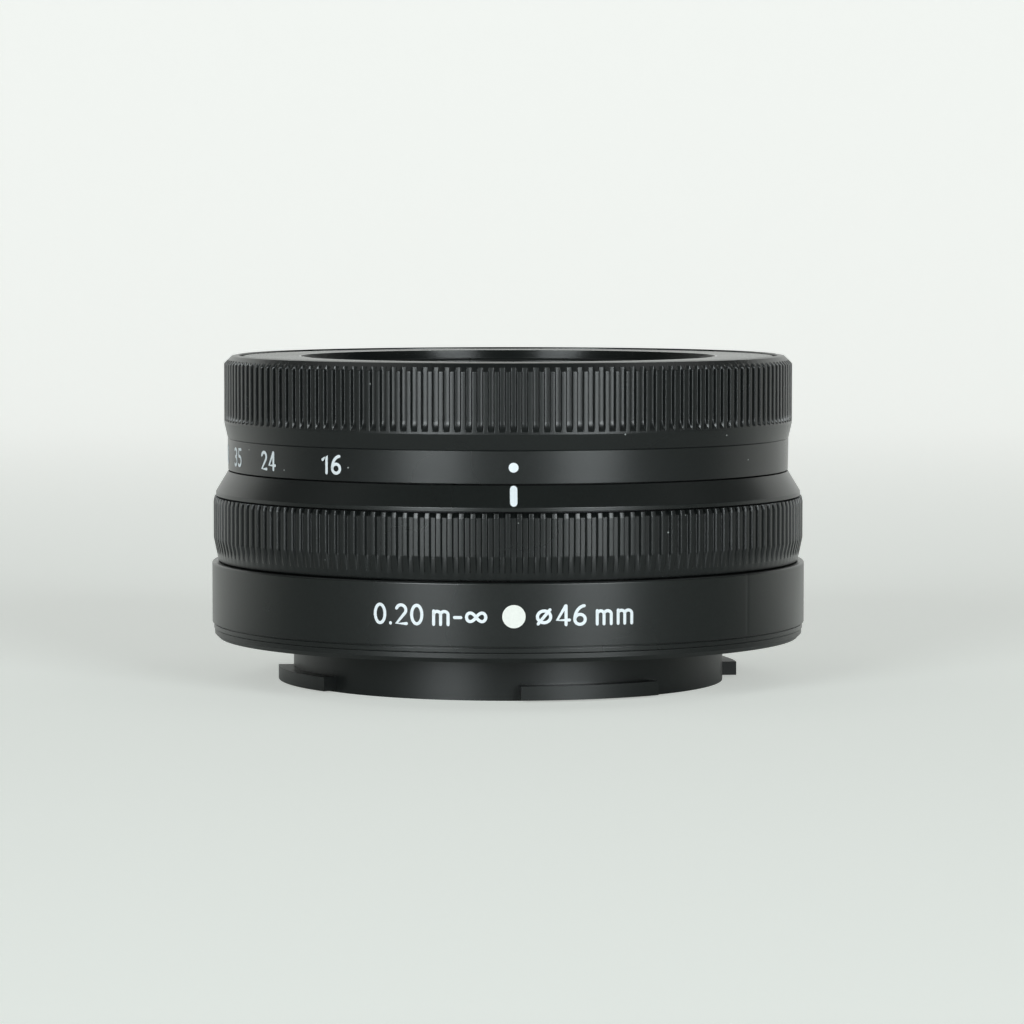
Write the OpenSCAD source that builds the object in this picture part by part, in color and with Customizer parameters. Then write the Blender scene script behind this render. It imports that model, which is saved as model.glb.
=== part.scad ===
// Retracting zoom lens for a small camera, drawn with its barrels closed.
// +Z runs along the optical axis to the front, z = 0 is the bayonet's flange face, the index line faces -Y.

/* [Outer shell] */
// Diameter of the base cover, the widest piece
body_d = 70; // [69:0.25:73]
// Flange face to front lip with the barrels closed
body_len = 33.25; // [32.75:0.25:36]
// Flange face to the base cover's top edge
base_top = 8.95; // [8.6:0.05:9.4]
// Height of the control ring
control_h = 7.5; // [7:0.05:8]
// Height of the index ring
index_h = 2.85; // [2.4:0.05:3.2]
// Height of the upright rim at the foot of the index ring
index_rim_h = 0.45; // [0.2:0.05:0.8]
// Axial gap between one outer ring and the next
ring_gap = 0.15; // [0.1:0.05:0.3]
// How far the control ring lies inside the base cover's surface
control_inset = 0.2; // [0:0.05:0.5]
// How far the zoom grip lies inside the base cover's surface
grip_inset = 1.5; // [1:0.05:1.8]
// How far the scale band lies inside the zoom grip's surface
band_inset = 0.4; // [0.2:0.05:0.6]
// Height of the scale band at the foot of the zoom ring
band_h = 3.7; // [3:0.1:4.5]
// Height of the slope from the scale band up to the zoom grip
band_slope_h = 1.8; // [1:0.1:2.5]
// Height of the stepped foot below the base cover's groove line
foot_h = 0.65; // [0.4:0.05:1]
// How far the stepped foot lies inside the base cover's surface
foot_inset = 0.2; // [0.1:0.05:0.5]
// Thickness of the base cover's wall
base_wall = 1.55; // [1.2:0.05:1.6]
// Small chamfer on the outer edges
edge_chamfer = 0.2; // [0.1:0.05:0.3]

/* [Grip ribs] */
// Ribs round the zoom ring and round the control ring
rib_count = 168; // [120:4:180]
// Width of a groove between two zoom ribs
zoom_groove_w = 0.76; // [0.5:0.02:0.8]
// Depth of a groove between two zoom ribs
zoom_groove_depth = 0.45; // [0.2:0.05:0.6]
// Radius of the run-out at the foot of a zoom groove
runout_r = 1.6; // [1:0.1:2]
// Plain edge left below the zoom grooves
grip_edge_h = 0.25; // [0.1:0.05:0.5]
// Chamfer along the top of the zoom grip
grip_chamfer = 0.9; // [0.5:0.05:1]
// Floor width of a groove between two control ribs
control_groove_w = 0.46; // [0.3:0.02:0.6]
// Top width of a groove between two control ribs
control_groove_top_w = 0.79; // [0.6:0.01:0.9]
// Depth of a groove between two control ribs
control_groove_depth = 0.38; // [0.2:0.02:0.5]
// Chamfer along the top of the control ring
control_chamfer = 0.6; // [0.4:0.05:0.7]
// Height of the taper at the foot of the control ring
control_taper_h = 2.65; // [2:0.05:3]
// How far that taper draws in
control_taper_in = 0.56; // [0.5:0.02:0.7]

/* [Bayonet] */
// Outer diameter of the bayonet's spigot
spigot_d = 50.8; // [50:0.2:52]
// Inner diameter of the bayonet's throat
throat_d = 48; // [47.6:0.2:48.6]
// Flange face to the spigot's end
spigot_len = 5.2; // [5:0.1:6]
// Diameter over the bayonet tabs
tab_d = 54.4; // [53:0.2:55]
// Thickness of a bayonet tab
tab_t = 1.6; // [1:0.1:2]
// Angle that a bayonet tab covers
tab_angle = 36; // [20:1:50]
// Bayonet tabs round the spigot
tab_count = 4; // [3:1:5]
// Distance from the spigot's end to a tab
tab_edge = 0.2; // [0.1:0.1:0.6]
// Thickness of the bayonet's flange
flange_t = 1.05; // [0.9:0.05:1.1]
// How far the flange's rim lies inside the base cover's surface
flange_inset = 0.3; // [0.1:0.05:0.5]
// Chamfer on the flange's lower edge
flange_chamfer = 0.5; // [0.2:0.1:0.7]
// Diameter of the locking pin's hole in the flange
lock_hole_d = 3.5; // [3:0.1:4]
// Depth of the locking pin's hole
lock_hole_depth = 1.9; // [1.5:0.1:1.95]
// Screws that hold the bayonet
mount_screw_count = 4; // [3:1:5]
// Thread diameter of a mount screw
mount_screw_d = 1.6; // [1.4:0.1:2]
// Head diameter of a mount screw
mount_head_d = 3.2; // [2.8:0.1:3.4]
// Head height of a mount screw
mount_head_h = 0.55; // [0.4:0.05:0.7]

/* [Barrels] */
// Radial running gap between two barrels
barrel_fit = 0.15; // [0.1:0.01:0.16]
// Wall of the control ring, ribs included
control_wall = 2.25; // [2.1:0.05:2.3]
// Wall of the frame's sleeve inside the control ring
sleeve_wall = 1.1; // [1:0.05:1.15]
// Wall of the barrel that the zoom ring drives
drive_wall = 0.9; // [0.8:0.05:0.95]
// Wall of the fixed barrel
fixed_wall = 1.15; // [1:0.05:1.2]
// Wall of the first moving barrel
first_wall = 1.15; // [1:0.05:1.2]
// Wall of the cam ring
cam_wall = 0.95; // [0.8:0.05:1]
// Wall of the front barrel
front_wall = 1.25; // [1:0.05:1.3]
// Turn of the zoom ring from closed to the longest focal length
zoom_sweep = 85; // [70:1:86]
// Travel of the first moving barrel over that turn
first_travel = 12; // [10:0.5:12.5]
// Travel of the front barrel on the first moving barrel
front_travel = 10; // [8:0.5:10.5]
// Diameter of a cam pin
cam_pin_d = 2.4; // [2:0.1:2.6]
// Diameter of a front barrel pin
front_pin_d = 2; // [1.6:0.1:2.2]
// Clearance each side of a pin in its slot
slot_fit = 0.2; // [0.15:0.05:0.25]
// Width of a key lug on the first moving barrel
key_w = 4; // [3:0.1:5]
// Depth of the straight grooves that guide keys and pins
guide_depth = 0.55; // [0.4:0.05:0.6]

/* [Front] */
// Nominal diameter of the filter thread
filter_d = 46; // [45:0.5:47]
// Pitch of the filter thread
filter_pitch = 0.75; // [0.5:0.05:0.8]
// Ridges of the filter thread
filter_turns = 4; // [3:1:5]
// How far the zoom ring's lip stands above the front face
lip_proud = 0.2; // [0.1:0.05:0.5]
// How far the lip's top falls to its outer edge
lip_fall = 0.1; // [0.05:0.05:0.2]
// Width of the lip's opening outside the front ring
lip_gap = 0.4; // [0.3:0.05:0.5]
// How far the front ring's flange reaches past the fixed barrel
flange_reach = 1.3; // [1:0.05:1.35]
// Thickness of the front ring's flange
front_flange_t = 1.8; // [1.4:0.1:2]
// Depth of the cone that leads into the filter thread
thread_lead = 0.9; // [0.5:0.1:1.1]
// Width of that cone
thread_mouth_w = 1.7; // [1:0.1:1.9]

/* [Optics] */
// Rim diameter of the front element
lens_1_d = 28; // [26:0.5:29]
// Rim diameter of the second element
lens_2_d = 22.8; // [22:0.2:24]
// Rim diameter of the third element
lens_3_d = 20.4; // [20:0.2:21]
// Rim diameter of the fourth element
lens_4_d = 18; // [17:0.2:19]
// Rim diameter of the cemented pair
lens_56_d = 16; // [15:0.2:16.4]
// Rim diameter of the seventh element
lens_7_d = 16.4; // [15:0.2:17]
// Rim diameter of the focusing element
lens_8_d = 16.4; // [15:0.2:17]
// Rim diameter of the rear element
lens_9_d = 19.2; // [18:0.2:20]
// Wall of the rings that hold the elements
cell_wall = 1.15; // [0.9:0.05:1.3]
// Thickness of an iris blade
blade_t = 0.12; // [0.08:0.01:0.14]
// Height step from one iris blade to the next
blade_step = 0.2; // [0.18:0.01:0.22]
// Radius of the open iris
iris_open_r = 8.2; // [7.5:0.1:8.3]
// Radius of the circle of blade pivots
pivot_circle_r = 11.6; // [11.3:0.1:11.8]
// Distance from a blade's pivot to its drive pin
blade_lever = 1.8; // [1.6:0.1:1.9]
// Turn of a blade from open to closed
blade_turn = 36; // [20:1:38]
// Travel of the focusing element
focus_travel = 2.2; // [1.5:0.1:2.2]
// Advance of the focusing screw in one turn
screw_lead = 1.1; // [0.8:0.1:1.5]
// Travel of the stabiliser to each side
stabiliser_travel = 0.5; // [0.3:0.1:0.5]
// Width of the rear window
window_w = 25; // [22:0.5:27]
// Height of the rear window
window_h = 17; // [15:0.5:18]

/* [Electrics] */
// Contact pins at the rear
contact_count = 11; // [8:1:12]
// Diameter of a contact pin
contact_d = 1.1; // [0.8:0.1:1.2]
// Angle from one contact pin to the next
contact_step = 5; // [4.5:0.1:5.4]
// Thickness of the main board
board_t = 0.8; // [0.6:0.1:0.85]

/* [Hidden] */
$fn = 96;
sphere_facets = 320;

// Room that many pieces share: a seated piece, a thrust face, a barrel's end, parts that pass each other
seat_fit = 0.05;
thrust_gap = 0.1;
end_gap = 0.2;
pass_gap = 0.3;
// How far a cut reaches past its solid, and how far two joined solids lap
cut_past = 1;
join_lap = 0.1;

// Outer radii
body_r = body_d / 2;
control_r = body_r - control_inset;
grip_r = body_r - grip_inset;
band_r = grip_r - band_inset;
foot_r = body_r - foot_inset;
flange_r = body_r - flange_inset;
base_in = body_r - base_wall;

// The barrels' radii, from the control ring inwards
control_in = control_r - control_wall;
sleeve_out = control_in - barrel_fit;
sleeve_in = sleeve_out - sleeve_wall;
drive_out = sleeve_in - barrel_fit;
drive_in = drive_out - drive_wall;
fixed_out = drive_in - barrel_fit;
fixed_in = fixed_out - fixed_wall;
first_out = fixed_in - barrel_fit;
first_in = first_out - first_wall;
cam_out = first_in - barrel_fit;
cam_in = cam_out - cam_wall;
front_out = cam_in - barrel_fit;
front_in = front_out - front_wall;
zoom_bore = drive_out + 2 * barrel_fit;
front_flange_r = fixed_out + flange_reach;

// Heights of the outer rings
control_z0 = base_top + ring_gap;
control_z1 = control_z0 + control_h;
index_z0 = control_z1 + ring_gap;
index_z1 = index_z0 + index_h;
zoom_z0 = index_z1 + ring_gap;
band_z1 = zoom_z0 + band_h;
grip_z0 = band_z1 + band_slope_h;
groove_z0 = grip_z0 + grip_edge_h;

// The base cover's groove line, the mounting dot and the encoder inside the control ring
base_z0 = flange_t + seat_fit;
foot_z1 = base_z0 + foot_h;
line_h = 0.15;
line_depth = 0.35;
dot_r = 1.29;
dot_depth = 0.5;
dot_z = 5.2;
scale_rise = 1;
scale_z0 = control_z0 + scale_rise;
scale_h = 2.8;
scale_t = 0.33;
scale_groove = 0.4;
sensor_angle = 150;
sensor_w = 4;
sensor_h = 2.4;
sensor_rise = 1.2;
sensor_z = control_z0 + sensor_rise;

// Heights of the frame's plate and of the focusing travel above it
post_h = 1.45;
plate_z0 = flange_t + post_h;
plate_t = 1.2;
plate_z1 = plate_z0 + plate_t;
focus_z = plate_z1 + pass_gap;
focus_h = 1.6;
focus_z1 = focus_z + focus_h + focus_travel;
focus_room = 0.5;
spider_z0 = focus_z1 + focus_room;
spider_t = 1.5;
spider_z1 = spider_z0 + spider_t;

// Heights of the barrels' ends
front_z = body_len - lip_proud;
front_flange_z0 = front_z - front_flange_t;
first_z1 = front_flange_z0 - pass_gap;
fixed_z1 = first_z1 - end_gap;
drive_z1 = fixed_z1 - thrust_gap;
retainer_t = 0.25;
fixed_flange_t = 0.7;
first_z0 = plate_z1 + fixed_flange_t + end_gap;
first_lip_h = 2.2;
lip_z0 = first_z1 - first_lip_h;
cam_z0 = spider_z1 + pass_gap;
cam_z1 = lip_z0 - end_gap;
front_barrel_rise = 0.7;
front_barrel_z0 = spider_z1 + front_barrel_rise;
sleeve_z1 = index_z1 - thrust_gap;

// Pins, keys and slots of the zoom drive
pin_groups = 3;
pin_wall = 0.4;
cam_pin_rise = 1.9;
cam_pin_z = cam_z0 + cam_pin_rise;
cam_pin_angle = 20;
cam_pin_in = cam_in + pin_wall;
cam_pin_out = drive_out - end_gap;
front_pin_rise = 3;
front_pin_z = cam_pin_z + front_pin_rise;
front_pin_in = front_in + pin_wall;
front_pin_out = first_in + guide_depth - thrust_gap;
cam_slot_w = cam_pin_d + 2 * slot_fit;
front_slot_w = front_pin_d + 2 * slot_fit;
key_angle = 2.5;
key_z0 = first_z0 + end_gap;
key_h = 2.2;
key_out = fixed_in + guide_depth - barrel_fit;
slot_steps = 17;
drive_pin_r = 1;
drive_pin_angle = 80;
drive_pin_rise = 2;
drive_pin_z = zoom_z0 + drive_pin_rise;
drive_pin_sink = 1;
drive_pin_wall = 0.3;
drive_pin_in = drive_in + drive_pin_wall;

// The frame's posts and screws
post_r = 1.9;
post_room = 0.35;
screw_circle_r = base_in - post_r - post_room;
screw_angle = 45;
screw_end_z = plate_z1 - pass_gap;
barrel_screw_r = 0.7;
barrel_screw_angle = 75;
barrel_head_r = 1.2;
barrel_head_h = 0.45;
barrel_head_room = 0.45;
barrel_screw_circle = first_in - barrel_head_r - barrel_head_room;
barrel_screw_edge = 1.6;
barrel_flange_in = barrel_screw_circle - barrel_screw_edge;
ear_w = 3.8;

// Face radii of the elements, rear and front; a hollow face is negative
cement_r = 28;
lens_1_faces = [-26, 60];
lens_2_faces = [-36, 90];
lens_3_faces = [-80, 40];
lens_4_faces = [-90, 30];
lens_5_faces = [cement_r, 40];
lens_6_faces = [200, -cement_r];
lens_7_faces = [-90, 120];
lens_8_faces = [-24, 45];
lens_9_faces = [70, 22];

// Front group
cell_rise = 12.1;
cell_flange_z = front_barrel_z0 + cell_rise;
cell_flange_t = 1.2;
lens_1_z = cell_flange_z + pass_gap;
lens_1_rim = 1.9;
lens_2_drop = 1.6;
lens_2_z = lens_1_z - lens_2_drop;
lens_3_drop = 1;
lens_3_z = lens_2_z - lens_3_drop;
ledge_w = 0.8;
ledge_h = 0.6;
front_hub_h = 2.3;

// Stabiliser group, and the stop under a seated element
stop_t = 0.2;
stop_w = 0.6;
lens_56_z = spider_z1 + end_gap;
tube_56 = lens_56_d / 2 + seat_fit;
stabiliser_rise = 1.8;
stabiliser_z = spider_z1 + stabiliser_rise;
stabiliser_t = 1;
coil_circle_r = 18;
coil_l = 7.5;
coil_w = 4.6;
coil_t = 0.6;
magnet_t = 0.8;
stabiliser_places = [0, 90];
group2_fit = 0.35;
group2_wall = 1.6;
group2_out = front_in - group2_fit;
group2_in = group2_out - group2_wall;

// Iris: each blade has its own level, a fixed pivot and a pin in the ring that turns it
blade_count = 7;
blade_angle_step = 360 / blade_count;
blade_pin_r = 0.35;
blade_pin_fit = 0.06;
blade_back = 0.1;
blade_in = iris_open_r + blade_back;
blade_pivot_edge = 0.9;
blade_out = pivot_circle_r - blade_pivot_edge;
blade_span = 118;
blade_lead = 4;
blade_lug_r = 0.9;
drive_circle_r = pivot_circle_r + blade_lever;
closed_drive_r = norm([pivot_circle_r + blade_lever * cos(blade_turn), blade_lever * sin(blade_turn)]);
iris_rim_back = 0.2;
iris_rim_r = iris_open_r + iris_rim_back;
iris_wall_room = 1.6;
iris_wall_r = drive_circle_r + iris_wall_room;
iris_wall_t = 0.8;
iris_rise = 0.6;
iris_z = stabiliser_z + stabiliser_t + iris_rise;
blade_gap = 0.15;
iris_plate_t = 0.6;
blade_z = iris_z + iris_plate_t + blade_gap;
iris_ring_z = blade_z + blade_count * blade_step + blade_gap;
iris_ring_t = 0.6;
iris_cover_z = iris_ring_z + iris_ring_t + pass_gap;
iris_cover_t = 0.6;
iris_motor_r = 2.6;
iris_motor_angle = 200;
lens_4_z = iris_cover_z + iris_cover_t + thrust_gap;
group2_rim_h = 2.2;
group2_z1 = lens_4_z + group2_rim_h;

// Contacts and rear unit, from the spigot's end inwards
contact_tip_z = pass_gap - spigot_len;
contact_proud = 0.3;
contact_z0 = contact_tip_z + contact_proud;
contact_sink = 0.8;
baffle_z0 = contact_z0 + end_gap;
baffle_t = 0.7;
baffle_h = 1.2;
floor_z0 = baffle_z0 + baffle_h;
floor_t = 1;
floor_z1 = floor_z0 + floor_t;
rear_cell_fit = 0.7;
rear_cell_wall = 1.3;
rear_cell_out = throat_d / 2 - rear_cell_fit;
rear_cell_in = rear_cell_out - rear_cell_wall;
contact_angle = 90;
contact_margin = 4;
contact_span = (contact_count - 1) * contact_step + 2 * contact_margin;
contact_inset = 1.5;
contact_circle_r = rear_cell_out - contact_inset;
contact_edge = 1.6;
contact_in = contact_circle_r - contact_edge;
contact_step_out = 0.1;
contact_out = rear_cell_out + contact_step_out;
baffle_gap = 0.6;
baffle_r = contact_in - baffle_gap;
lens_9_seat_w = 0.75;
lens_9_stop = lens_9_d / 2 - lens_9_seat_w;
rear_rim_h = 2.4;
lens_9_z = floor_z1 + sag(lens_9_faces[0], lens_9_d / 2) - sag(lens_9_faces[0], lens_9_stop) + seat_fit;

// Focus unit
shaft_r = 0.8;
shaft_fit = 0.05;
shaft_inset = 6;
shaft_circle_r = rear_cell_in - shaft_inset;
shaft_angles = [30, 210];
shaft_z0 = floor_z0 + end_gap;
shaft_z1 = focus_z1 + thrust_gap;
screw_r = 0.8;
screw_thread = 0.12;
screw_fit = 0.08;
motor_r = 3.1;
motor_gap = 1;
motor_z1 = plate_z0 - motor_gap;
motor_room = 0.5;
screw_circle = rear_cell_in - motor_r - motor_room;
screw_place = 120;
nut_r = 1.7;

// Main board and the locking pin's place
board_z0 = flange_t + thrust_gap;
board_in = throat_d / 2 + end_gap;
board_out = screw_circle_r - post_r - end_gap;
board_angle = 250;
board_start = -35;
flex_t = 0.15;
lock_wall = 1;
lock_angle = 250;
lock_inset = 1.45;
lock_circle_r = spigot_d / 2 + lock_hole_d / 2 + lock_inset;

// Colours
shell_black = [0.09, 0.09, 0.095];
inner_black = [0.06, 0.06, 0.065];
blade_black = [0.13, 0.13, 0.14];
metal_grey = [0.62, 0.62, 0.64];
brass = [0.75, 0.62, 0.32];
gold = [0.83, 0.66, 0.3];
copper = [0.72, 0.42, 0.2];
amber = [0.55, 0.35, 0.12];
board_green = [0.1, 0.3, 0.16];
glass_tint = [0.55, 0.68, 0.72, 0.45];

// How far a sphere of that radius falls away over that half width
function sag(radius, half) = radius - sqrt(radius * radius - half * half);

module revolve(points) {
    rotate_extrude() polygon(points);
}

module tube(out_r, in_r, z0, z1) {
    revolve([[in_r, z0], [out_r, z0], [out_r, z1], [in_r, z1]]);
}

module arc_tube(out_r, in_r, z0, z1, angle) {
    rotate([0, 0, -angle / 2]) rotate_extrude(angle = angle)
        polygon([[in_r, z0], [out_r, z0], [out_r, z1], [in_r, z1]]);
}

module round_array(count, start = 0) {
    for (i = [0 : count - 1]) rotate([0, 0, start + i * 360 / count]) children();
}

module upright(radius, z0, z1) {
    translate([0, 0, z0]) cylinder(r = radius, h = z1 - z0);
}

module radial_pin(radius, r0, r1, z) {
    translate([r0, 0, z]) rotate([0, 90, 0]) cylinder(r = radius, h = r1 - r0);
}

// A slot that climbs round a barrel wall, cut by short straight boxes with round ends
module climbing_slot(wall_in, wall_out, width, z0, rise, sweep) {
    in_r = wall_in - cut_past;
    out_r = wall_out + cut_past;
    mid_r = (in_r + out_r) / 2;
    run = sweep * PI / 180 * mid_r;
    slope = atan(rise / run);
    lap = 0.5;
    length = norm([run, rise]) / slot_steps + lap;
    for (i = [0 : slot_steps - 1]) {
        share = (i + 0.5) / slot_steps;
        rotate([0, 0, share * sweep]) translate([in_r, 0, z0 + share * rise]) rotate([slope, 0, 0])
            translate([0, -length / 2, -width / 2]) cube([out_r - in_r, length, width]);
    }
    radial_pin(width / 2, in_r, out_r, z0);
    rotate([0, 0, sweep]) radial_pin(width / 2, in_r, out_r, z0 + rise);
}

// A straight axial slot with round ends
module axial_slot(in_r, out_r, width, z0, z1) {
    translate([in_r, -width / 2, z0]) cube([out_r - in_r, width, z1 - z0]);
    radial_pin(width / 2, in_r, out_r, z0);
    radial_pin(width / 2, in_r, out_r, z1);
}

// Cuts one spherical face: a positive radius bulges along facing, a negative one is hollow
module ground(radius, vertex, facing) {
    if (radius > 0) intersection() {
        children();
        translate([0, 0, vertex - facing * radius]) sphere(r = radius, $fn = sphere_facets);
    }
    else difference() {
        children();
        translate([0, 0, vertex - facing * radius]) sphere(r = -radius, $fn = sphere_facets);
    }
}

// A lens element with its rim from z0 to z1; flat is the plain edge round a hollow face
module element(rim_r, z0, z1, faces, flat = 0) {
    rear = faces[0];
    front = faces[1];
    front_vertex = front > 0 ? z1 + sag(front, rim_r) : z1 - sag(-front, rim_r - flat);
    rear_vertex = rear > 0 ? z0 - sag(rear, rim_r) : z0 + sag(-rear, rim_r - flat);
    color(glass_tint) ground(front, front_vertex, 1) ground(rear, rear_vertex, -1)
        upright(rim_r, min(rear_vertex, z0), max(front_vertex, z1));
}

module mount_bayonet() {
    tab_start = 20;
    tab_root = 0.3;
    tab_z0 = tab_edge - spigot_len;
    color(shell_black) difference() {
        union() {
            revolve([
                [throat_d / 2, -spigot_len], [spigot_d / 2, -spigot_len], [spigot_d / 2, 0],
                [flange_r - flange_chamfer, 0], [flange_r, flange_chamfer], [flange_r, flange_t],
                [throat_d / 2, flange_t]
            ]);
            round_array(tab_count, tab_start)
                arc_tube(tab_d / 2, spigot_d / 2 - tab_root, tab_z0, tab_z0 + tab_t, tab_angle);
            rotate([0, 0, lock_angle]) translate([lock_circle_r, 0, 0])
                upright(lock_hole_d / 2 + lock_wall, flange_t / 2, plate_z0 - end_gap);
        }
        rotate([0, 0, lock_angle]) translate([lock_circle_r, 0, 0])
            upright(lock_hole_d / 2, -cut_past, lock_hole_depth);
        round_array(mount_screw_count, screw_angle) translate([screw_circle_r, 0, 0]) {
            upright(mount_screw_d / 2 + seat_fit, -cut_past, flange_t + cut_past);
            upright(mount_head_d / 2 + seat_fit, -cut_past, mount_head_h + seat_fit);
        }
    }
}

module mount_screws() {
    cross_w = 0.5;
    cross_l = 0.6 * mount_head_d;
    cross_depth = 0.6 * mount_head_h;
    color(metal_grey) round_array(mount_screw_count, screw_angle) translate([screw_circle_r, 0, 0])
        difference() {
            union() {
                upright(mount_head_d / 2, seat_fit, mount_head_h + seat_fit);
                upright(mount_screw_d / 2, seat_fit, screw_end_z);
            }
            for (turn = [0, 90]) rotate([0, 0, turn])
                translate([-cross_l / 2, -cross_w / 2, 0]) cube([cross_l, cross_w, cross_depth]);
        }
}

module base_cover() {
    shelf_h = 0.8;
    shelf_in = sleeve_out + seat_fit;
    line_drop = 0.1;
    line_z0 = foot_z1 - line_drop;
    color(shell_black) difference() {
        revolve([
            [base_in, base_z0], [foot_r, base_z0], [foot_r, line_z0], [body_r - line_depth, line_z0],
            [body_r - line_depth, line_z0 + line_h], [body_r, line_z0 + line_h],
            [body_r, base_top - edge_chamfer],
            [body_r - edge_chamfer, base_top], [base_in, base_top], [base_in, plate_z1 + shelf_h],
            [shelf_in, plate_z1 + shelf_h], [shelf_in, plate_z1], [base_in, plate_z1]
        ]);
        rotate([0, 0, -90]) radial_pin(dot_r + seat_fit / 2, body_r - dot_depth, body_r + cut_past, dot_z);
    }
}

module mount_dot() {
    color("white") rotate([0, 0, -90]) radial_pin(dot_r, body_r - dot_depth, body_r, dot_z);
}

module main_frame() {
    plate_lap = 0.5;
    plate_in = rear_cell_in - plate_lap;
    color(inner_black) difference() {
        union() {
            tube(base_in - seat_fit, plate_in, plate_z0, plate_z1);
            tube(sleeve_out, sleeve_in, plate_z1 - join_lap, sleeve_z1);
            round_array(mount_screw_count, screw_angle) translate([screw_circle_r, 0, 0])
                upright(post_r, flange_t, plate_z0 + join_lap);
            for (a = shaft_angles) rotate([0, 0, a]) frame_ear(shaft_circle_r);
            rotate([0, 0, screw_place]) frame_ear(screw_circle);
        }
        round_array(mount_screw_count, screw_angle) translate([screw_circle_r, 0, 0])
            upright(mount_screw_d / 2, 0, screw_end_z);
        for (a = shaft_angles) rotate([0, 0, a]) translate([shaft_circle_r, 0, 0])
            upright(shaft_r, 0, focus_z);
        rotate([0, 0, screw_place]) translate([screw_circle, 0, 0]) upright(screw_r + screw_fit, 0, focus_z);
        round_array(pin_groups, barrel_screw_angle) translate([barrel_screw_circle, 0, 0])
            upright(barrel_screw_r, plate_z0 - cut_past, plate_z1 + cut_past);
        rotate([0, 0, sensor_angle])
            translate([sleeve_in - cut_past, -sensor_w / 2 - thrust_gap, sensor_z - thrust_gap])
                cube([sleeve_wall + 2 * cut_past, sensor_w + 2 * thrust_gap, sensor_h + 2 * thrust_gap]);
    }
}

// A lug on the frame's plate, a little thinner than it, that reaches in to a shaft or screw
module frame_ear(circle_r) {
    step = 0.1;
    translate([circle_r - ear_w / 2, -ear_w / 2, plate_z0 + step])
        cube([rear_cell_in - circle_r + ear_w / 2, ear_w, plate_t - 2 * step]);
}

module index_ring() {
    cone_inset = 0.3;
    cone_r = control_r - cone_inset;
    color(shell_black) revolve([
        [sleeve_out, index_z0], [cone_r - seat_fit, index_z0], [cone_r, index_z0 + index_rim_h],
        [band_r - seat_fit, index_z1], [sleeve_out, index_z1]
    ]);
}

module control_washer() {
    washer_w = 1.1;
    washer_gap = 0.02;
    color(metal_grey) tube(control_in + washer_w, control_in, control_z1 + washer_gap, index_z0 - washer_gap);
}

module control_ring() {
    scale_z1 = scale_z0 + scale_h;
    color(shell_black) difference() {
        revolve([
            [control_in, control_z0], [control_r - control_taper_in, control_z0],
            [control_r, control_z0 + control_taper_h], [control_r, control_z1 - control_chamfer],
            [control_r - control_chamfer, control_z1], [control_in, control_z1],
            [control_in, scale_z1], [control_in + scale_groove, scale_z1],
            [control_in + scale_groove, scale_z0], [control_in, scale_z0]
        ]);
        round_array(rib_count, -90) control_groove();
    }
}

module control_groove() {
    reach = 0.5;
    floor_r = control_r - control_groove_depth;
    flare = (control_groove_top_w - control_groove_w) / 2 / control_groove_depth;
    out_half = control_groove_w / 2 + flare * (control_groove_depth + reach);
    translate([0, 0, control_z0 - cut_past]) linear_extrude(control_h + 2 * cut_past) polygon([
        [floor_r, -control_groove_w / 2], [control_r + reach, -out_half],
        [control_r + reach, out_half], [floor_r, control_groove_w / 2]
    ]);
}

module encoder_scale() {
    glue_gap = 0.02;
    scale_out = control_in + scale_groove - glue_gap;
    color(metal_grey) tube(scale_out, scale_out - scale_t, scale_z0, scale_z0 + scale_h);
}

module encoder_sensor() {
    color("dimgray") rotate([0, 0, sensor_angle])
        translate([sleeve_in + barrel_fit, -sensor_w / 2, sensor_z])
            cube([sleeve_wall - barrel_fit - thrust_gap, sensor_w, sensor_h]);
}

module zoom_ring() {
    lip_in = front_flange_r + lip_gap;
    lip_under = front_flange_z0 - end_gap;
    lip_edge_z = body_len - lip_fall;
    line_d = 0.1;
    color(shell_black) difference() {
        revolve([
            [zoom_bore, zoom_z0], [band_r - seat_fit, zoom_z0], [band_r, band_z1 - line_d],
            [band_r - line_d, band_z1], [band_r, band_z1 + line_d], [grip_r, grip_z0],
            [grip_r, lip_edge_z - grip_chamfer], [grip_r - grip_chamfer, lip_edge_z],
            [lip_in + edge_chamfer, body_len], [lip_in, body_len - edge_chamfer],
            [lip_in, lip_under], [zoom_bore, lip_under]
        ]);
        round_array(rib_count, -90) zoom_groove();
        round_array(pin_groups, drive_pin_angle)
            radial_pin(drive_pin_r, zoom_bore - cut_past, zoom_bore + drive_pin_sink, drive_pin_z);
    }
}

module zoom_groove() {
    arc_steps = 5;
    floor_r = grip_r - zoom_groove_depth;
    arc_end = acos(1 - zoom_groove_depth / runout_r);
    arc_z = groove_z0 + runout_r * sin(arc_end);
    out_r = grip_r + cut_past / 2;
    top_z = body_len + cut_past;
    rotate([90, 0, 0]) translate([0, 0, -zoom_groove_w / 2]) linear_extrude(zoom_groove_w) polygon(concat(
        [[out_r, top_z], [floor_r, top_z]],
        [for (i = [0 : arc_steps]) let (a = arc_end * i / arc_steps)
            [floor_r + runout_r * (1 - cos(a)), arc_z - runout_r * sin(a)]],
        [[out_r, groove_z0]]
    ));
}

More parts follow.
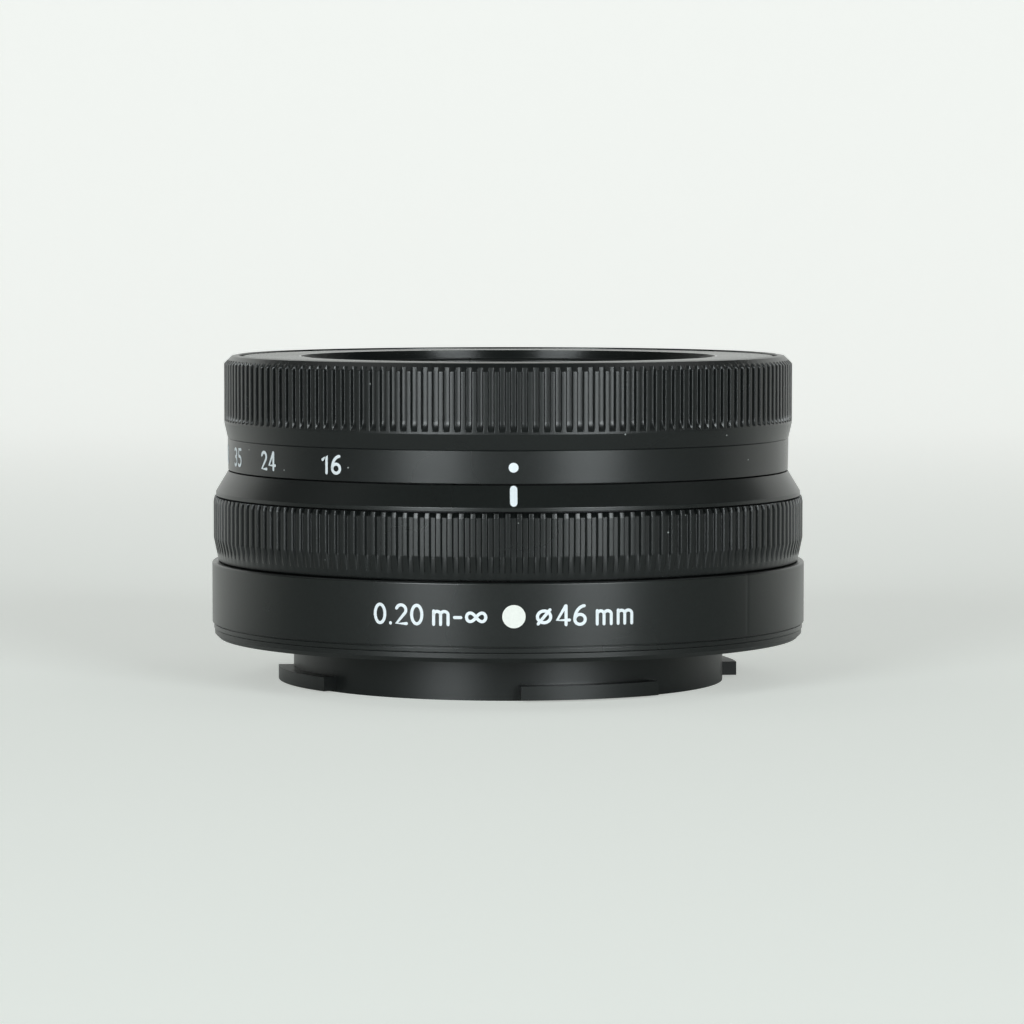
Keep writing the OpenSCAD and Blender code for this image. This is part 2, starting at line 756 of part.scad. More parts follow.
module drive_barrel() {
    foot_z = plate_z1 + end_gap;
    collar_rise = 0.4;
    collar_z = zoom_z0 + collar_rise;
    collar_r = zoom_bore - seat_fit;
    slot_z0 = cam_pin_z - slot_fit;
    slot_z1 = cam_pin_z + first_travel + slot_fit;
    color(inner_black) difference() {
        revolve([
            [drive_in, foot_z], [drive_out, foot_z], [drive_out, collar_z], [collar_r, collar_z],
            [collar_r, drive_z1], [drive_in, drive_z1]
        ]);
        round_array(pin_groups, cam_pin_angle)
            axial_slot(drive_in - cut_past, drive_out + cut_past, cam_slot_w, slot_z0, slot_z1);
        round_array(pin_groups, drive_pin_angle)
            radial_pin(drive_pin_r, drive_pin_in, drive_out + cut_past, drive_pin_z);
    }
}

module drive_pins() {
    color(metal_grey) round_array(pin_groups, drive_pin_angle)
        radial_pin(drive_pin_r, drive_pin_in, zoom_bore + drive_pin_sink, drive_pin_z);
}

module fixed_barrel() {
    color(inner_black) difference() {
        revolve([
            [barrel_flange_in, plate_z1], [fixed_out, plate_z1], [fixed_out, fixed_z1], [fixed_in, fixed_z1],
            [fixed_in, plate_z1 + fixed_flange_t], [barrel_flange_in, plate_z1 + fixed_flange_t]
        ]);
        round_array(pin_groups, cam_pin_angle)
            climbing_slot(fixed_in, fixed_out, cam_slot_w, cam_pin_z, first_travel, zoom_sweep);
        round_array(pin_groups, key_angle)
            translate([fixed_in - cut_past, -key_w / 2 - slot_fit, key_z0 - slot_fit])
                cube([guide_depth + cut_past, key_w + 2 * slot_fit, key_h + first_travel + 2 * slot_fit]);
        round_array(pin_groups, barrel_screw_angle) translate([barrel_screw_circle, 0, 0])
            upright(barrel_screw_r, plate_z1 - cut_past, first_z0);
    }
}

module barrel_screws() {
    color(metal_grey) round_array(pin_groups, barrel_screw_angle) translate([barrel_screw_circle, 0, 0]) {
        head_z = plate_z1 + fixed_flange_t;
        upright(barrel_screw_r, plate_z0 + end_gap, head_z + join_lap);
        upright(barrel_head_r, head_z, head_z + barrel_head_h);
    }
}

module barrel_retainer() {
    color(metal_grey) tube(drive_out - end_gap, fixed_in, fixed_z1, fixed_z1 + retainer_t);
}

module first_barrel() {
    lip_in = front_out + barrel_fit;
    slot_ease = 3;
    key_in = first_in + end_gap;
    pin_slot_z0 = cam_pin_z - cam_slot_w / 2;
    pin_slot_sweep = zoom_sweep + 2 * slot_ease;
    guide_z0 = front_pin_z - front_slot_w / 2;
    color(shell_black) difference() {
        union() {
            revolve([
                [first_in, first_z0], [first_out, first_z0], [first_out, first_z1], [lip_in, first_z1],
                [lip_in, lip_z0], [first_in, lip_z0]
            ]);
            round_array(pin_groups, key_angle) intersection() {
                translate([key_in, -key_w / 2, key_z0]) cube([key_out, key_w, key_h]);
                tube(key_out, key_in, first_z0, first_z1);
            }
        }
        round_array(pin_groups, cam_pin_angle + zoom_sweep / 2)
            arc_tube(first_out + cut_past, first_in - cut_past, pin_slot_z0, pin_slot_z0 + cam_slot_w,
                pin_slot_sweep);
        round_array(pin_groups) translate([first_in - cut_past, -front_slot_w / 2, guide_z0])
            cube([guide_depth + cut_past, front_slot_w, front_travel + front_slot_w]);
    }
}

module cam_ring() {
    color(metal_grey) difference() {
        tube(cam_out, cam_in, cam_z0, cam_z1);
        round_array(pin_groups)
            climbing_slot(cam_in, cam_out, front_slot_w, front_pin_z, front_travel, -zoom_sweep);
        round_array(pin_groups, cam_pin_angle)
            radial_pin(cam_pin_d / 2, cam_pin_in, cam_out + cut_past, cam_pin_z);
    }
}

module cam_pins() {
    color(metal_grey) round_array(pin_groups, cam_pin_angle)
        radial_pin(cam_pin_d / 2, cam_pin_in, cam_pin_out, cam_pin_z);
}

module front_barrel() {
    ledge_in = front_in - ledge_w;
    ledge_z = cell_flange_z - ledge_h;
    color(shell_black) difference() {
        revolve([
            [front_in, front_barrel_z0], [front_out, front_barrel_z0], [front_out, front_flange_z0],
            [front_in, front_flange_z0], [front_in, cell_flange_z], [ledge_in, cell_flange_z],
            [ledge_in, ledge_z], [front_in, ledge_z - ledge_w]
        ]);
        round_array(pin_groups) radial_pin(front_pin_d / 2, front_pin_in, front_out + cut_past, front_pin_z);
    }
}

module front_pins() {
    color(metal_grey) round_array(pin_groups)
        radial_pin(front_pin_d / 2, front_pin_in, front_pin_out, front_pin_z);
}

// Closed ridges of a thread, from the lowest to the highest; shares says where each ridge bends
function ridge_points(crest_r, root_r, z0, pitch, turns, shares) = [
    for (i = [0 : turns - 1]) let (z = z0 + i * pitch) each [
        [root_r, z + pitch * shares[0]], [crest_r, z + pitch * shares[1]],
        [crest_r, z + pitch * shares[2]], [root_r, z + pitch * shares[3]]
    ]
];

module filter_ring() {
    root_relief = 0.03;
    crest_share = 0.54;
    root_r = filter_d / 2 + root_relief;
    crest_r = filter_d / 2 - crest_share * filter_pitch;
    hub_z0 = front_flange_z0 - front_hub_h;
    hub_r = front_in - seat_fit;
    thread_z0 = front_z - thread_lead - filter_turns * filter_pitch;
    ridges = ridge_points(crest_r, root_r, thread_z0, filter_pitch, filter_turns, [0.08, 0.42, 0.58, 0.92]);
    color(shell_black) revolve(concat(
        [[root_r, hub_z0]],
        ridges,
        [[root_r, front_z - thread_lead], [root_r + thread_mouth_w, front_z],
        [front_flange_r - edge_chamfer, front_z], [front_flange_r, front_z - edge_chamfer],
        [front_flange_r, front_flange_z0], [hub_r, front_flange_z0], [hub_r, hub_z0]]
    ));
}

module trim_ring() {
    step_count = 9;
    skin = 0.9;
    rim_w = 1;
    lip_t = 0.18;
    foot_t = 0.08;
    lip_w = 0.5;
    out_r = filter_d / 2 - thrust_gap;
    in_r = lens_1_d / 2 - lip_w;
    glass_rise = sag(lens_1_faces[1], lens_1_d / 2) - sag(lens_1_faces[1], in_r);
    lip_z = lens_1_z + lens_1_rim + glass_rise + seat_fit;
    foot_r = lens_1_d / 2 + cell_wall;
    z_in = lip_z + lip_t;
    z_out = front_flange_z0 - front_hub_h + seat_fit;
    step_r = (out_r - rim_w - in_r) / step_count;
    function step_z(i) = z_in + (z_out - z_in) * i / step_count;
    color(inner_black) revolve(concat(
        [[out_r, z_out - skin], [out_r, z_out], [out_r - rim_w, z_out]],
        [for (i = [step_count - 1 : -1 : 0]) each [
            [in_r + (i + 1) * step_r, step_z(i)], [in_r + i * step_r, step_z(i)]
        ]],
        [[in_r, lip_z], [foot_r, lip_z], [foot_r, lip_z + foot_t]]
    ));
}

module group1_cell() {
    bore_1 = lens_1_d / 2 + seat_fit;
    bore_2 = lens_2_d / 2 + seat_fit;
    bore_3 = lens_3_d / 2 + seat_fit;
    rear_lip_w = 0.8;
    rear_lip_h = 0.4;
    stop_r = lens_3_d / 2 - rear_lip_w;
    stop_z = lens_3_z - rear_lip_h;
    rim_z = lens_1_z + lens_1_rim;
    flange_out = front_in - seat_fit;
    cell_flange_z1 = cell_flange_z + cell_flange_t;
    cone_drop = 1;
    cone_z = lens_1_z - cone_drop;
    color(inner_black) revolve([
        [stop_r, stop_z], [bore_3 + cell_wall, stop_z], [bore_1 + cell_wall, cone_z],
        [bore_1 + cell_wall, cell_flange_z], [flange_out, cell_flange_z], [flange_out, cell_flange_z1],
        [bore_1 + cell_wall, cell_flange_z1], [bore_1 + cell_wall, rim_z], [bore_1, rim_z],
        [bore_1, lens_1_z],
        [bore_2, lens_1_z], [bore_2, lens_2_z], [bore_3, lens_2_z], [bore_3, lens_3_z], [stop_r, lens_3_z]
    ]);
}

module lens_1() {
    element(lens_1_d / 2, lens_1_z, lens_1_z + lens_1_rim, lens_1_faces, flat = 2.8);
}

module lens_2() {
    element(lens_2_d / 2, lens_2_z, lens_1_z - thrust_gap, lens_2_faces, flat = 1.8);
}

module lens_3() {
    element(lens_3_d / 2, lens_3_z, lens_2_z - end_gap, lens_3_faces, flat = 1.2);
}

module group2_frame() {
    bore_7 = lens_7_d / 2 + seat_fit;
    stop_r = bore_7 - stop_w;
    window_edge = 1.1;
    window_depth = 1.6;
    window_out = group2_in - window_edge;
    window_in = window_out - window_depth;
    window_start = 60;
    window_sweep = 40;
    color(inner_black) difference() {
        revolve([
            [stop_r, spider_z0], [first_in, spider_z0], [first_in, spider_z1], [group2_out, spider_z1],
            [group2_out, group2_z1], [group2_in, group2_z1], [group2_in, spider_z1], [bore_7, spider_z1],
            [bore_7, spider_z0 + stop_t], [stop_r, spider_z0 + stop_t]
        ]);
        round_array(pin_groups, window_start)
            arc_tube(window_out, window_in, spider_z0 - cut_past, spider_z1 + cut_past, window_sweep);
    }
}

module iris_plate() {
    color(inner_black) difference() {
        union() {
            tube(group2_in, iris_rim_r, iris_z, iris_z + iris_plate_t);
            tube(iris_wall_r + iris_wall_t, iris_wall_r, iris_z, iris_cover_z);
        }
        round_array(blade_count) translate([pivot_circle_r, 0, 0])
            upright(blade_pin_r + blade_pin_fit, iris_z - cut_past, iris_z + iris_plate_t + cut_past);
    }
}

module iris_cover() {
    bore_4 = lens_4_d / 2 + seat_fit;
    rim_h = 1.2;
    rim_z = lens_4_z + rim_h;
    cover_z1 = iris_cover_z + iris_cover_t;
    color(inner_black) revolve([
        [iris_rim_r, iris_cover_z], [group2_in, iris_cover_z], [group2_in, cover_z1],
        [bore_4 + cell_wall, cover_z1], [bore_4 + cell_wall, rim_z],
        [bore_4, rim_z], [bore_4, lens_4_z], [iris_rim_r, lens_4_z]
    ]);
}

module iris_motor() {
    color("dimgray") rotate([0, 0, iris_motor_angle])
        translate([(iris_wall_r + iris_wall_t + group2_in) / 2, 0, 0])
            upright(iris_motor_r, iris_z + iris_plate_t, iris_cover_z);
}

module iris_ring() {
    rim_w = 0.9;
    slot_half = blade_pin_r + blade_pin_fit;
    color(metal_grey) difference() {
        tube(iris_wall_r - thrust_gap, closed_drive_r - rim_w, iris_ring_z, iris_ring_z + iris_ring_t);
        round_array(blade_count)
            radial_slot(closed_drive_r - thrust_gap, drive_circle_r + thrust_gap, slot_half);
    }
}

// A radial slot with round ends through the iris ring
module radial_slot(r0, r1, half) {
    z0 = iris_ring_z - cut_past;
    z1 = iris_ring_z + iris_ring_t + cut_past;
    translate([r0, -half, z0]) cube([r1 - r0, 2 * half, z1 - z0]);
    for (r = [r0, r1]) translate([r, 0, 0]) upright(half, z0, z1);
}

module iris_blade(i) {
    z0 = blade_z + i * blade_step;
    lug_back = 0.2;
    lug_in = blade_in + lug_back;
    color(blade_black) rotate([0, 0, i * blade_angle_step]) {
        rotate([0, 0, blade_span / 2 - blade_lead])
            arc_tube(blade_out, blade_in, z0, z0 + blade_t, blade_span);
        translate([lug_in, -blade_lug_r, z0]) cube([drive_circle_r - lug_in, 2 * blade_lug_r, blade_t]);
        translate([drive_circle_r, 0, 0]) upright(blade_lug_r, z0, z0 + blade_t);
        translate([pivot_circle_r, 0, 0]) upright(blade_pin_r, iris_z, z0 + blade_t);
        translate([drive_circle_r, 0, 0]) upright(blade_pin_r, z0, iris_ring_z + iris_ring_t);
    }
}

module lens_4() {
    rim_h = 0.9;
    element(lens_4_d / 2, lens_4_z, lens_4_z + rim_h, lens_4_faces, flat = 1.1);
}

module stabiliser_guide() {
    in_r = tube_56 + cell_wall + stabiliser_travel + end_gap;
    plate_w = 3.2;
    slide_gap = 0.25;
    color(metal_grey) tube(in_r + plate_w, in_r, spider_z1 + slide_gap, stabiliser_z - slide_gap);
}

module stabiliser_frame() {
    edge = 0.5;
    arm_w = coil_l + 2 * edge;
    arm_l = coil_circle_r + coil_w / 2 + edge;
    disc_w = 4;
    disc_r = tube_56 + cell_wall + disc_w;
    top_z = stabiliser_z + stabiliser_t;
    color(inner_black) difference() {
        union() {
            upright(disc_r, stabiliser_z, top_z);
            upright(tube_56 + cell_wall, lens_56_z, top_z);
            for (a = stabiliser_places) rotate([0, 0, a])
                translate([0, -arm_w / 2, stabiliser_z]) cube([arm_l, arm_w, stabiliser_t]);
        }
        upright(tube_56, lens_56_z - cut_past, top_z + cut_past);
    }
}

module stabiliser_coils() {
    wind_w = 1.5;
    slot_w = coil_w - 2 * wind_w;
    slot_l = coil_l - 2 * wind_w;
    color(copper) for (a = stabiliser_places) rotate([0, 0, a])
        translate([coil_circle_r, 0, stabiliser_z - coil_t]) difference() {
            translate([-coil_w / 2, -coil_l / 2, 0]) cube([coil_w, coil_l, coil_t]);
            translate([-slot_w / 2, -slot_l / 2, -cut_past]) cube([slot_w, slot_l, coil_t + 2 * cut_past]);
        }
}

module stabiliser_magnets() {
    color(metal_grey) for (a = stabiliser_places) rotate([0, 0, a])
        translate([coil_circle_r - coil_w / 2, -coil_l / 2, spider_z1]) cube([coil_w, coil_l, magnet_t]);
}

module lens_5() {
    rim_h = 0.6;
    element(lens_56_d / 2, stabiliser_z, stabiliser_z + rim_h, lens_5_faces);
}

module lens_6() {
    element(lens_56_d / 2, lens_56_z, stabiliser_z, lens_6_faces);
}

module lens_7() {
    rim_h = 0.8;
    rim_z0 = spider_z0 + stop_t;
    element(lens_7_d / 2, rim_z0, rim_z0 + rim_h, lens_7_faces, flat = 0.8);
}

module focus_frame() {
    boss_wall = 1;
    nut_wall = 0.8;
    bore_8 = lens_8_d / 2 + seat_fit;
    stop_r = bore_8 - stop_w;
    boss_r = shaft_r + boss_wall;
    nut_boss_r = nut_r + nut_wall;
    top_z = focus_z + focus_h;
    low_cut = focus_z - cut_past;
    high_cut = top_z + cut_past;
    color(inner_black) difference() {
        union() {
            upright(bore_8 + cell_wall, focus_z, top_z);
            for (a = shaft_angles) rotate([0, 0, a]) focus_arm(shaft_circle_r, boss_r);
            rotate([0, 0, screw_place]) focus_arm(screw_circle, nut_boss_r);
        }
        upright(bore_8, focus_z + stop_t, high_cut);
        upright(stop_r, low_cut, focus_z + cut_past);
        for (a = shaft_angles) rotate([0, 0, a]) translate([shaft_circle_r, 0, 0])
            upright(shaft_r + shaft_fit, low_cut, high_cut);
        rotate([0, 0, screw_place]) translate([screw_circle, 0, 0]) upright(nut_r, low_cut, high_cut);
    }
}

// An arm of the focus frame, thinner than its ring, with a boss at its end
module focus_arm(length, boss_r) {
    arm_w = 2.6;
    step = 0.2;
    translate([lens_8_d / 2 + cell_wall / 2, -arm_w / 2, focus_z + step])
        cube([length - lens_8_d / 2 - cell_wall / 2, arm_w, focus_h - 2 * step]);
    translate([length, 0, 0]) upright(boss_r, focus_z, focus_z + focus_h);
}

module focus_nut() {
    color(brass) rotate([0, 0, screw_place]) translate([screw_circle, 0, 0]) difference() {
        upright(nut_r, focus_z, focus_z + focus_h);
        upright(screw_r + screw_fit, focus_z - cut_past, focus_z + focus_h + cut_past);
    }
}

module lens_8() {
    rim_h = 1.1;
    rim_z0 = focus_z + stop_t;
    element(lens_8_d / 2, rim_z0, rim_z0 + rim_h, lens_8_faces, flat = 0.8);
}

module focus_shafts() {
    color(metal_grey) for (a = shaft_angles) rotate([0, 0, a]) translate([shaft_circle_r, 0, 0])
        upright(shaft_r, shaft_z0, shaft_z1);
}

module focus_screw() {
    z0 = motor_z1 + seat_fit;
    root_r = screw_r - screw_thread;
    turns = floor((shaft_z1 - focus_z) / screw_lead);
    ridges = ridge_points(screw_r, root_r, focus_z, screw_lead, turns, [0.1, 0.35, 0.65, 0.9]);
    color(metal_grey) rotate([0, 0, screw_place]) translate([screw_circle, 0, 0]) revolve(concat(
        [[0, z0], [screw_r, z0], [screw_r, focus_z], [root_r, focus_z]],
        ridges,
        [[root_r, shaft_z1], [0, shaft_z1]]
    ));
}

module focus_motor() {
    color("dimgray") rotate([0, 0, screw_place]) translate([screw_circle, 0, 0])
        upright(motor_r, floor_z1, motor_z1);
}

module rear_cell() {
    bore_9 = lens_9_d / 2 + seat_fit;
    rim_z = floor_z1 + rear_rim_h;
    color(inner_black) difference() {
        revolve([
            [lens_9_stop, floor_z0], [rear_cell_out, floor_z0], [rear_cell_out, plate_z0],
            [rear_cell_in, plate_z0], [rear_cell_in, floor_z1], [bore_9 + cell_wall, floor_z1],
            [bore_9 + cell_wall, rim_z],
            [bore_9, rim_z], [bore_9, floor_z1], [lens_9_stop, floor_z1]
        ]);
        for (a = shaft_angles) rotate([0, 0, a]) translate([shaft_circle_r, 0, 0])
            upright(shaft_r, shaft_z0, floor_z1 + cut_past);
    }
}

module lens_9() {
    rim_h = 1.8;
    element(lens_9_d / 2, lens_9_z, lens_9_z + rim_h, lens_9_faces);
}

module rear_baffle() {
    rim = 1.4;
    color(inner_black) difference() {
        union() {
            upright(baffle_r, baffle_z0, baffle_z0 + baffle_t);
            tube(baffle_r, baffle_r - rim, baffle_z0, floor_z0);
        }
        translate([-window_w / 2, -window_h / 2, baffle_z0 - cut_past])
            cube([window_w, window_h, baffle_t + 2 * cut_past]);
    }
}

module contact_block() {
    color(inner_black) difference() {
        rotate([0, 0, contact_angle]) arc_tube(contact_out, contact_in, contact_z0, floor_z0, contact_span);
        contact_places() upright(contact_d / 2, contact_z0 - cut_past, contact_z0 + contact_sink);
    }
}

module contact_places() {
    for (i = [0 : contact_count - 1])
        rotate([0, 0, contact_angle + (i - (contact_count - 1) / 2) * contact_step])
            translate([contact_circle_r, 0, 0]) children();
}

module contact_pins() {
    color(gold) contact_places() upright(contact_d / 2, contact_tip_z, contact_z0 + contact_sink);
}

module contact_flex() {
    flex_sweep = 24;
    flex_r = contact_out + thrust_gap;
    foot_rise = 0.3;
    lie_l = 1.5;
    glue_gap = 0.02;
    foot_z = contact_z0 + foot_rise;
    lie_r = board_in + lie_l;
    lie_z = board_z0 + board_t + glue_gap;
    color(amber) rotate([0, 0, contact_angle - flex_sweep / 2]) rotate_extrude(angle = flex_sweep) polygon([
        [flex_r, foot_z], [flex_r + flex_t, foot_z], [flex_r + flex_t, lie_z],
        [lie_r, lie_z], [lie_r, lie_z + flex_t], [flex_r, lie_z + flex_t]
    ]);
}

module main_board() {
    chip = [3.2, 4, 0.35];
    chip_places = [0, 30, 150, 190];
    board_z1 = board_z0 + board_t;
    color(board_green) rotate([0, 0, board_start]) rotate_extrude(angle = board_angle)
        polygon([[board_in, board_z0], [board_out, board_z0], [board_out, board_z1], [board_in, board_z1]]);
    color("dimgray") for (a = chip_places) rotate([0, 0, a])
        translate([(board_in + board_out - chip.x) / 2, -chip.y / 2, board_z1 - join_lap])
            cube(chip + [0, 0, join_lap]);
}

mount_bayonet();
mount_screws();
base_cover();
mount_dot();
main_frame();
index_ring();
control_washer();
control_ring();
encoder_scale();
encoder_sensor();
zoom_ring();
drive_barrel();
drive_pins();
fixed_barrel();
barrel_screws();
barrel_retainer();
first_barrel();
cam_ring();
cam_pins();
front_barrel();
front_pins();
filter_ring();
trim_ring();
group1_cell();
lens_1();
lens_2();
lens_3();
group2_frame();
iris_plate();
iris_cover();
iris_motor();
iris_ring();
for (i = [0 : blade_count - 1])
    iris_blade(i);
lens_4();
stabiliser_guide();
stabiliser_frame();
stabiliser_coils();
stabiliser_magnets();
lens_5();
lens_6();
lens_7();
focus_frame();
focus_nut();
lens_8();
focus_shafts();
focus_screw();
focus_motor();
rear_cell();
lens_9();
rear_baffle();
contact_block();
contact_pins();
contact_flex();
main_board();
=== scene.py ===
"""Dresses a retracting zoom lens: ribbed grip rings, painted marks, coated glass and the works inside."""

import math

import bpy
from bpy.props import FloatProperty, FloatVectorProperty, IntProperty, PointerProperty
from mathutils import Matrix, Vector


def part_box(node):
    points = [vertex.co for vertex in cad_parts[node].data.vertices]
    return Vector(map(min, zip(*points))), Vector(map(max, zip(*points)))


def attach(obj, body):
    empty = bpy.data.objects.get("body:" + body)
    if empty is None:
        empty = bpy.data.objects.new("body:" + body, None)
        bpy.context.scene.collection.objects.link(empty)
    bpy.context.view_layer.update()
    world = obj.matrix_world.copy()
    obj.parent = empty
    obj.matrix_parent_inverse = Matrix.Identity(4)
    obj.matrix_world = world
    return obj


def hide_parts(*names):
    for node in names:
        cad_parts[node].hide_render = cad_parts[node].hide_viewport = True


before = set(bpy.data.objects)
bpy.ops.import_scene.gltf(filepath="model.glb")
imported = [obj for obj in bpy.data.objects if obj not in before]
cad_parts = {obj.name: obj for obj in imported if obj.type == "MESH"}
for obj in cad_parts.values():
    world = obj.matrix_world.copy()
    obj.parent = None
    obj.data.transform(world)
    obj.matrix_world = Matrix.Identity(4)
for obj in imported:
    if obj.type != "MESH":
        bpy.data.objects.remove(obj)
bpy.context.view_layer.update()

bl_info = {
    "name": "Retracting zoom lens",
    "version": (1, 0, 0),
    "blender": (4, 5, 0),
    "location": "View3D > Sidebar > Zoom lens",
    "description": "Builds the rings, marks, finishes and stage of a retracting zoom lens",
    "category": "Object",
}

MM = 0.001
INDEX_ANGLE = math.radians(-90)


def ring_size(node):
    """Outer radius, lowest and highest point of a round node."""
    low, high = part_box(node)
    return high.x, low.z, high.z


BASE_R, BASE_Z0, BASE_Z1 = ring_size("base_cover")
CONTROL_R, CONTROL_Z0, CONTROL_Z1 = ring_size("control_ring")
CONE_R, CONE_Z0, CONE_Z1 = ring_size("index_ring")
GRIP_R, ZOOM_Z0, ZOOM_Z1 = ring_size("zoom_ring")
FRONT_R, _, FRONT_Z1 = ring_size("filter_ring")
SLEEVE_R = ring_size("main_frame")[0]
FLOOR_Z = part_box("mount_bayonet")[0].z


def length(name, description, default_mm):
    """A length property whose default is written in millimetres."""
    return FloatProperty(
        name=name, description=description, default=default_mm * MM, unit="LENGTH", precision=5, min=0
    )


def angle(name, description, degrees):
    """An angle property whose default is written in degrees."""
    return FloatProperty(name=name, description=description, default=math.radians(degrees), subtype="ANGLE")


def colour(name, description, default):
    """A linear colour property."""
    return FloatVectorProperty(
        name=name, description=description, default=default, subtype="COLOR", size=3, min=0, max=1
    )


def power(name, description, default):
    """A lamp's power property."""
    return FloatProperty(name=name, description=description, default=default, unit="POWER", min=0)


class LensShape(bpy.types.PropertyGroup):
    """Sizes of the rings, the ribs and the painted marks."""

    fine_fillet: length("Fine fillet", "Fillet beside a fine line", 0.03)
    edge_fillet: length("Edge fillet", "Fillet of a crisp edge", 0.05)
    foot_fillet: length("Foot fillet", "Fillet of a lower edge", 0.06)
    soft_fillet: length("Soft fillet", "Fillet of a soft edge", 0.08)

    base_foot_in: length("Base foot", "How far the base cover's foot draws in", 0.2)
    base_line_z: length("Base line", "Height of the groove line above the base cover's foot", 0.55)
    base_line_h: length("Base line height", "Height of that groove line", 0.15)
    base_line_in: length("Base line depth", "Depth of that groove line", 0.35)
    base_fillet: length("Base fillet", "Fillet along the top of the base cover", 0.22)
    seam_w: length("Seam width", "Width of the base cover's faint seam", 0.10)
    seam_depth: length("Seam depth", "Depth of that seam", 0.006)
    seam_angle: angle("Seam", "Place of that seam, from the index", 49.9)

    cone_bore_in: length("Cone bore", "How far the index ring's bore lies inside the grip", 1.1)
    cone_top_in: length("Cone top", "How far the top of its cone lies inside the grip", 0.45)
    cone_rim_h: length("Cone rim", "Height of the upright rim under its cone", 0.45)
    cone_rim_fillet: length("Cone rim fillet", "Fillet between that rim and the cone", 0.16)

    rib_count: IntProperty(name="Ribs", description="Ribs round each grip ring", default=168, min=24)
    control_wall: length("Control wall", "Thickness of the control ring", 2.25)
    control_floor_w: length("Control groove floor", "Floor width of a control groove", 0.46)
    control_top_w: length("Control groove top", "Top width of a control groove", 0.79)
    control_depth: length("Control groove depth", "Depth of a control groove", 0.38)
    control_drop: length("Control groove end", "Height of the slope at the top of a control groove", 0.5)
    control_chamfer: length("Control chamfer", "Height of the bevel on top of a control rib", 0.6)
    control_bevel: length("Control bevel", "How far that bevel draws in", 0.12)
    control_shoulder: length("Control shoulder", "Fillet under that bevel", 0.25)
    taper_h: length("Control taper", "Height of the taper at the control ring's foot", 2.65)
    taper_in: length("Control taper draw", "How far that taper draws in", 0.56)
    taper_blend: length("Control taper blend", "Fillet between that taper and the ribs", 0.9)

    zoom_wall: length("Zoom wall", "Thickness of the zoom ring", 2.05)
    zoom_groove_w: length("Zoom groove", "Width of a groove between two zoom ribs", 0.76)
    zoom_groove_depth: length("Zoom groove depth", "Depth of a groove between two zoom ribs", 0.45)
    zoom_groove_z: length("Zoom groove foot", "Height of the grooves above the zoom ring's foot", 5.75)
    runout_r: length("Run-out radius", "Radius at the foot of a zoom groove", 1.9)
    band_in: length("Band draw", "How far the scale band lies inside the grip", 0.4)
    band_foot_in: length("Band foot", "How far the scale band draws in at its foot", 0.05)
    band_line_z: length("Band line", "Height of the fine line over the scale band", 3.7)
    band_line_w: length("Band line width", "Half width and depth of that fine line", 0.07)
    grip_z: length("Grip foot", "Height of the grip above the zoom ring's foot", 5.5)
    grip_fillet: length("Grip fillet", "Fillet at the foot of the grip", 0.10)
    grip_chamfer: length("Grip chamfer", "Chamfer along the top of the zoom grip", 0.9)
    chamfer_fillet: length("Chamfer fillet", "Fillet under that chamfer", 0.22)
    lip_fall: length("Lip fall", "How far the lip's top falls to its outer edge", 0.14)
    lip_gap: length("Lip gap", "Gap between the lip and the front ring", 0.4)
    lip_depth: length("Lip depth", "Depth of the lip's wall", 2.2)
    lip_outer_fillet: length("Lip outer fillet", "Fillet of the lip's outer edge", 0.12)
    lip_inner_fillet: length("Lip inner fillet", "Fillet of the lip's inner edge", 0.15)

    mouth_r: length("Mouth radius", "Inner radius of the front ring's mouth", 23.03)
    mouth_w: length("Mouth width", "Width of the cone round that mouth", 1.7)
    mouth_h: length("Mouth height", "Height of that cone", 0.9)
    mouth_steps: IntProperty(name="Mouth steps", description="Fine steps on that cone", default=6, min=1)

    paint_t: length("Paint", "How far the white paint stands out", 0.015)
    stroke_w: length("Stroke", "Width of a painted stroke", 0.38)
    number_h: length("Number height", "Height of the numbers on the zoom scale", 2.2)
    mark_z: length("Scale height", "Height of the scale above the zoom ring's foot", 1.83)
    scale_dot_d: length("Scale dot", "Diameter of the dot on the zoom scale", 1.09)
    index_w: length("Index width", "Width of the index line", 0.82)
    index_h: length("Index height", "Length of the index line", 2.24)
    index_z: length("Index place", "Height of the index line above the flange face", 18.46)
    label_h: length("Label height", "Height of the marks on the base", 2.4)
    label_rise: length("Label rise", "Height of those marks above the dot's middle", 0.1)


class LensFinish(bpy.types.PropertyGroup):
    """Colours of the finishes."""

    shell: colour("Shell", "Satin black plastic of the rings", (0.0078, 0.0095, 0.0088))
    grip: colour("Grip", "Satin black plastic of the ribs", (0.0078, 0.0093, 0.0090))
    inner: colour("Inner", "Matt black of the inner walls", (0.0080, 0.0082, 0.0084))
    dust: colour("Dust", "Specks of dust on the rings", (0.34, 0.36, 0.35))
    paint: colour("Paint", "White of the numbers and lines", (0.80, 0.85, 0.88))
    dot: colour("Dot", "White of the mounting dot", (0.84, 0.85, 0.80))
    glass: colour("Glass", "Tint of the elements", (0.96, 0.98, 0.97))
    steel: colour("Steel", "Pins, screws and shafts", (0.56, 0.56, 0.57))
    alloy: colour("Alloy", "Turned alloy rings", (0.42, 0.43, 0.45))
    brass: colour("Brass", "Focus nut", (0.70, 0.48, 0.20))
    gold: colour("Gold", "Contact pins", (0.88, 0.62, 0.24))
    can: colour("Motor can", "Cans of the motors", (0.30, 0.30, 0.31))
    magnet: colour("Magnet", "Nickel of the magnets", (0.50, 0.49, 0.47))
    blade: colour("Blade", "Blackened metal of the blades and washers", (0.030, 0.030, 0.032))
    copper: colour("Copper", "Coil wire", (0.72, 0.30, 0.12))
    stripe_dark: colour("Dark stripe", "Dark stripes of the encoder scale", (0.06, 0.06, 0.06))
    stripe_pale: colour("Pale stripe", "Pale stripes of the encoder scale", (0.45, 0.45, 0.46))
    amber: colour("Amber", "Flexible print", (0.42, 0.17, 0.03))
    board: colour("Board", "Main board", (0.012, 0.075, 0.035))


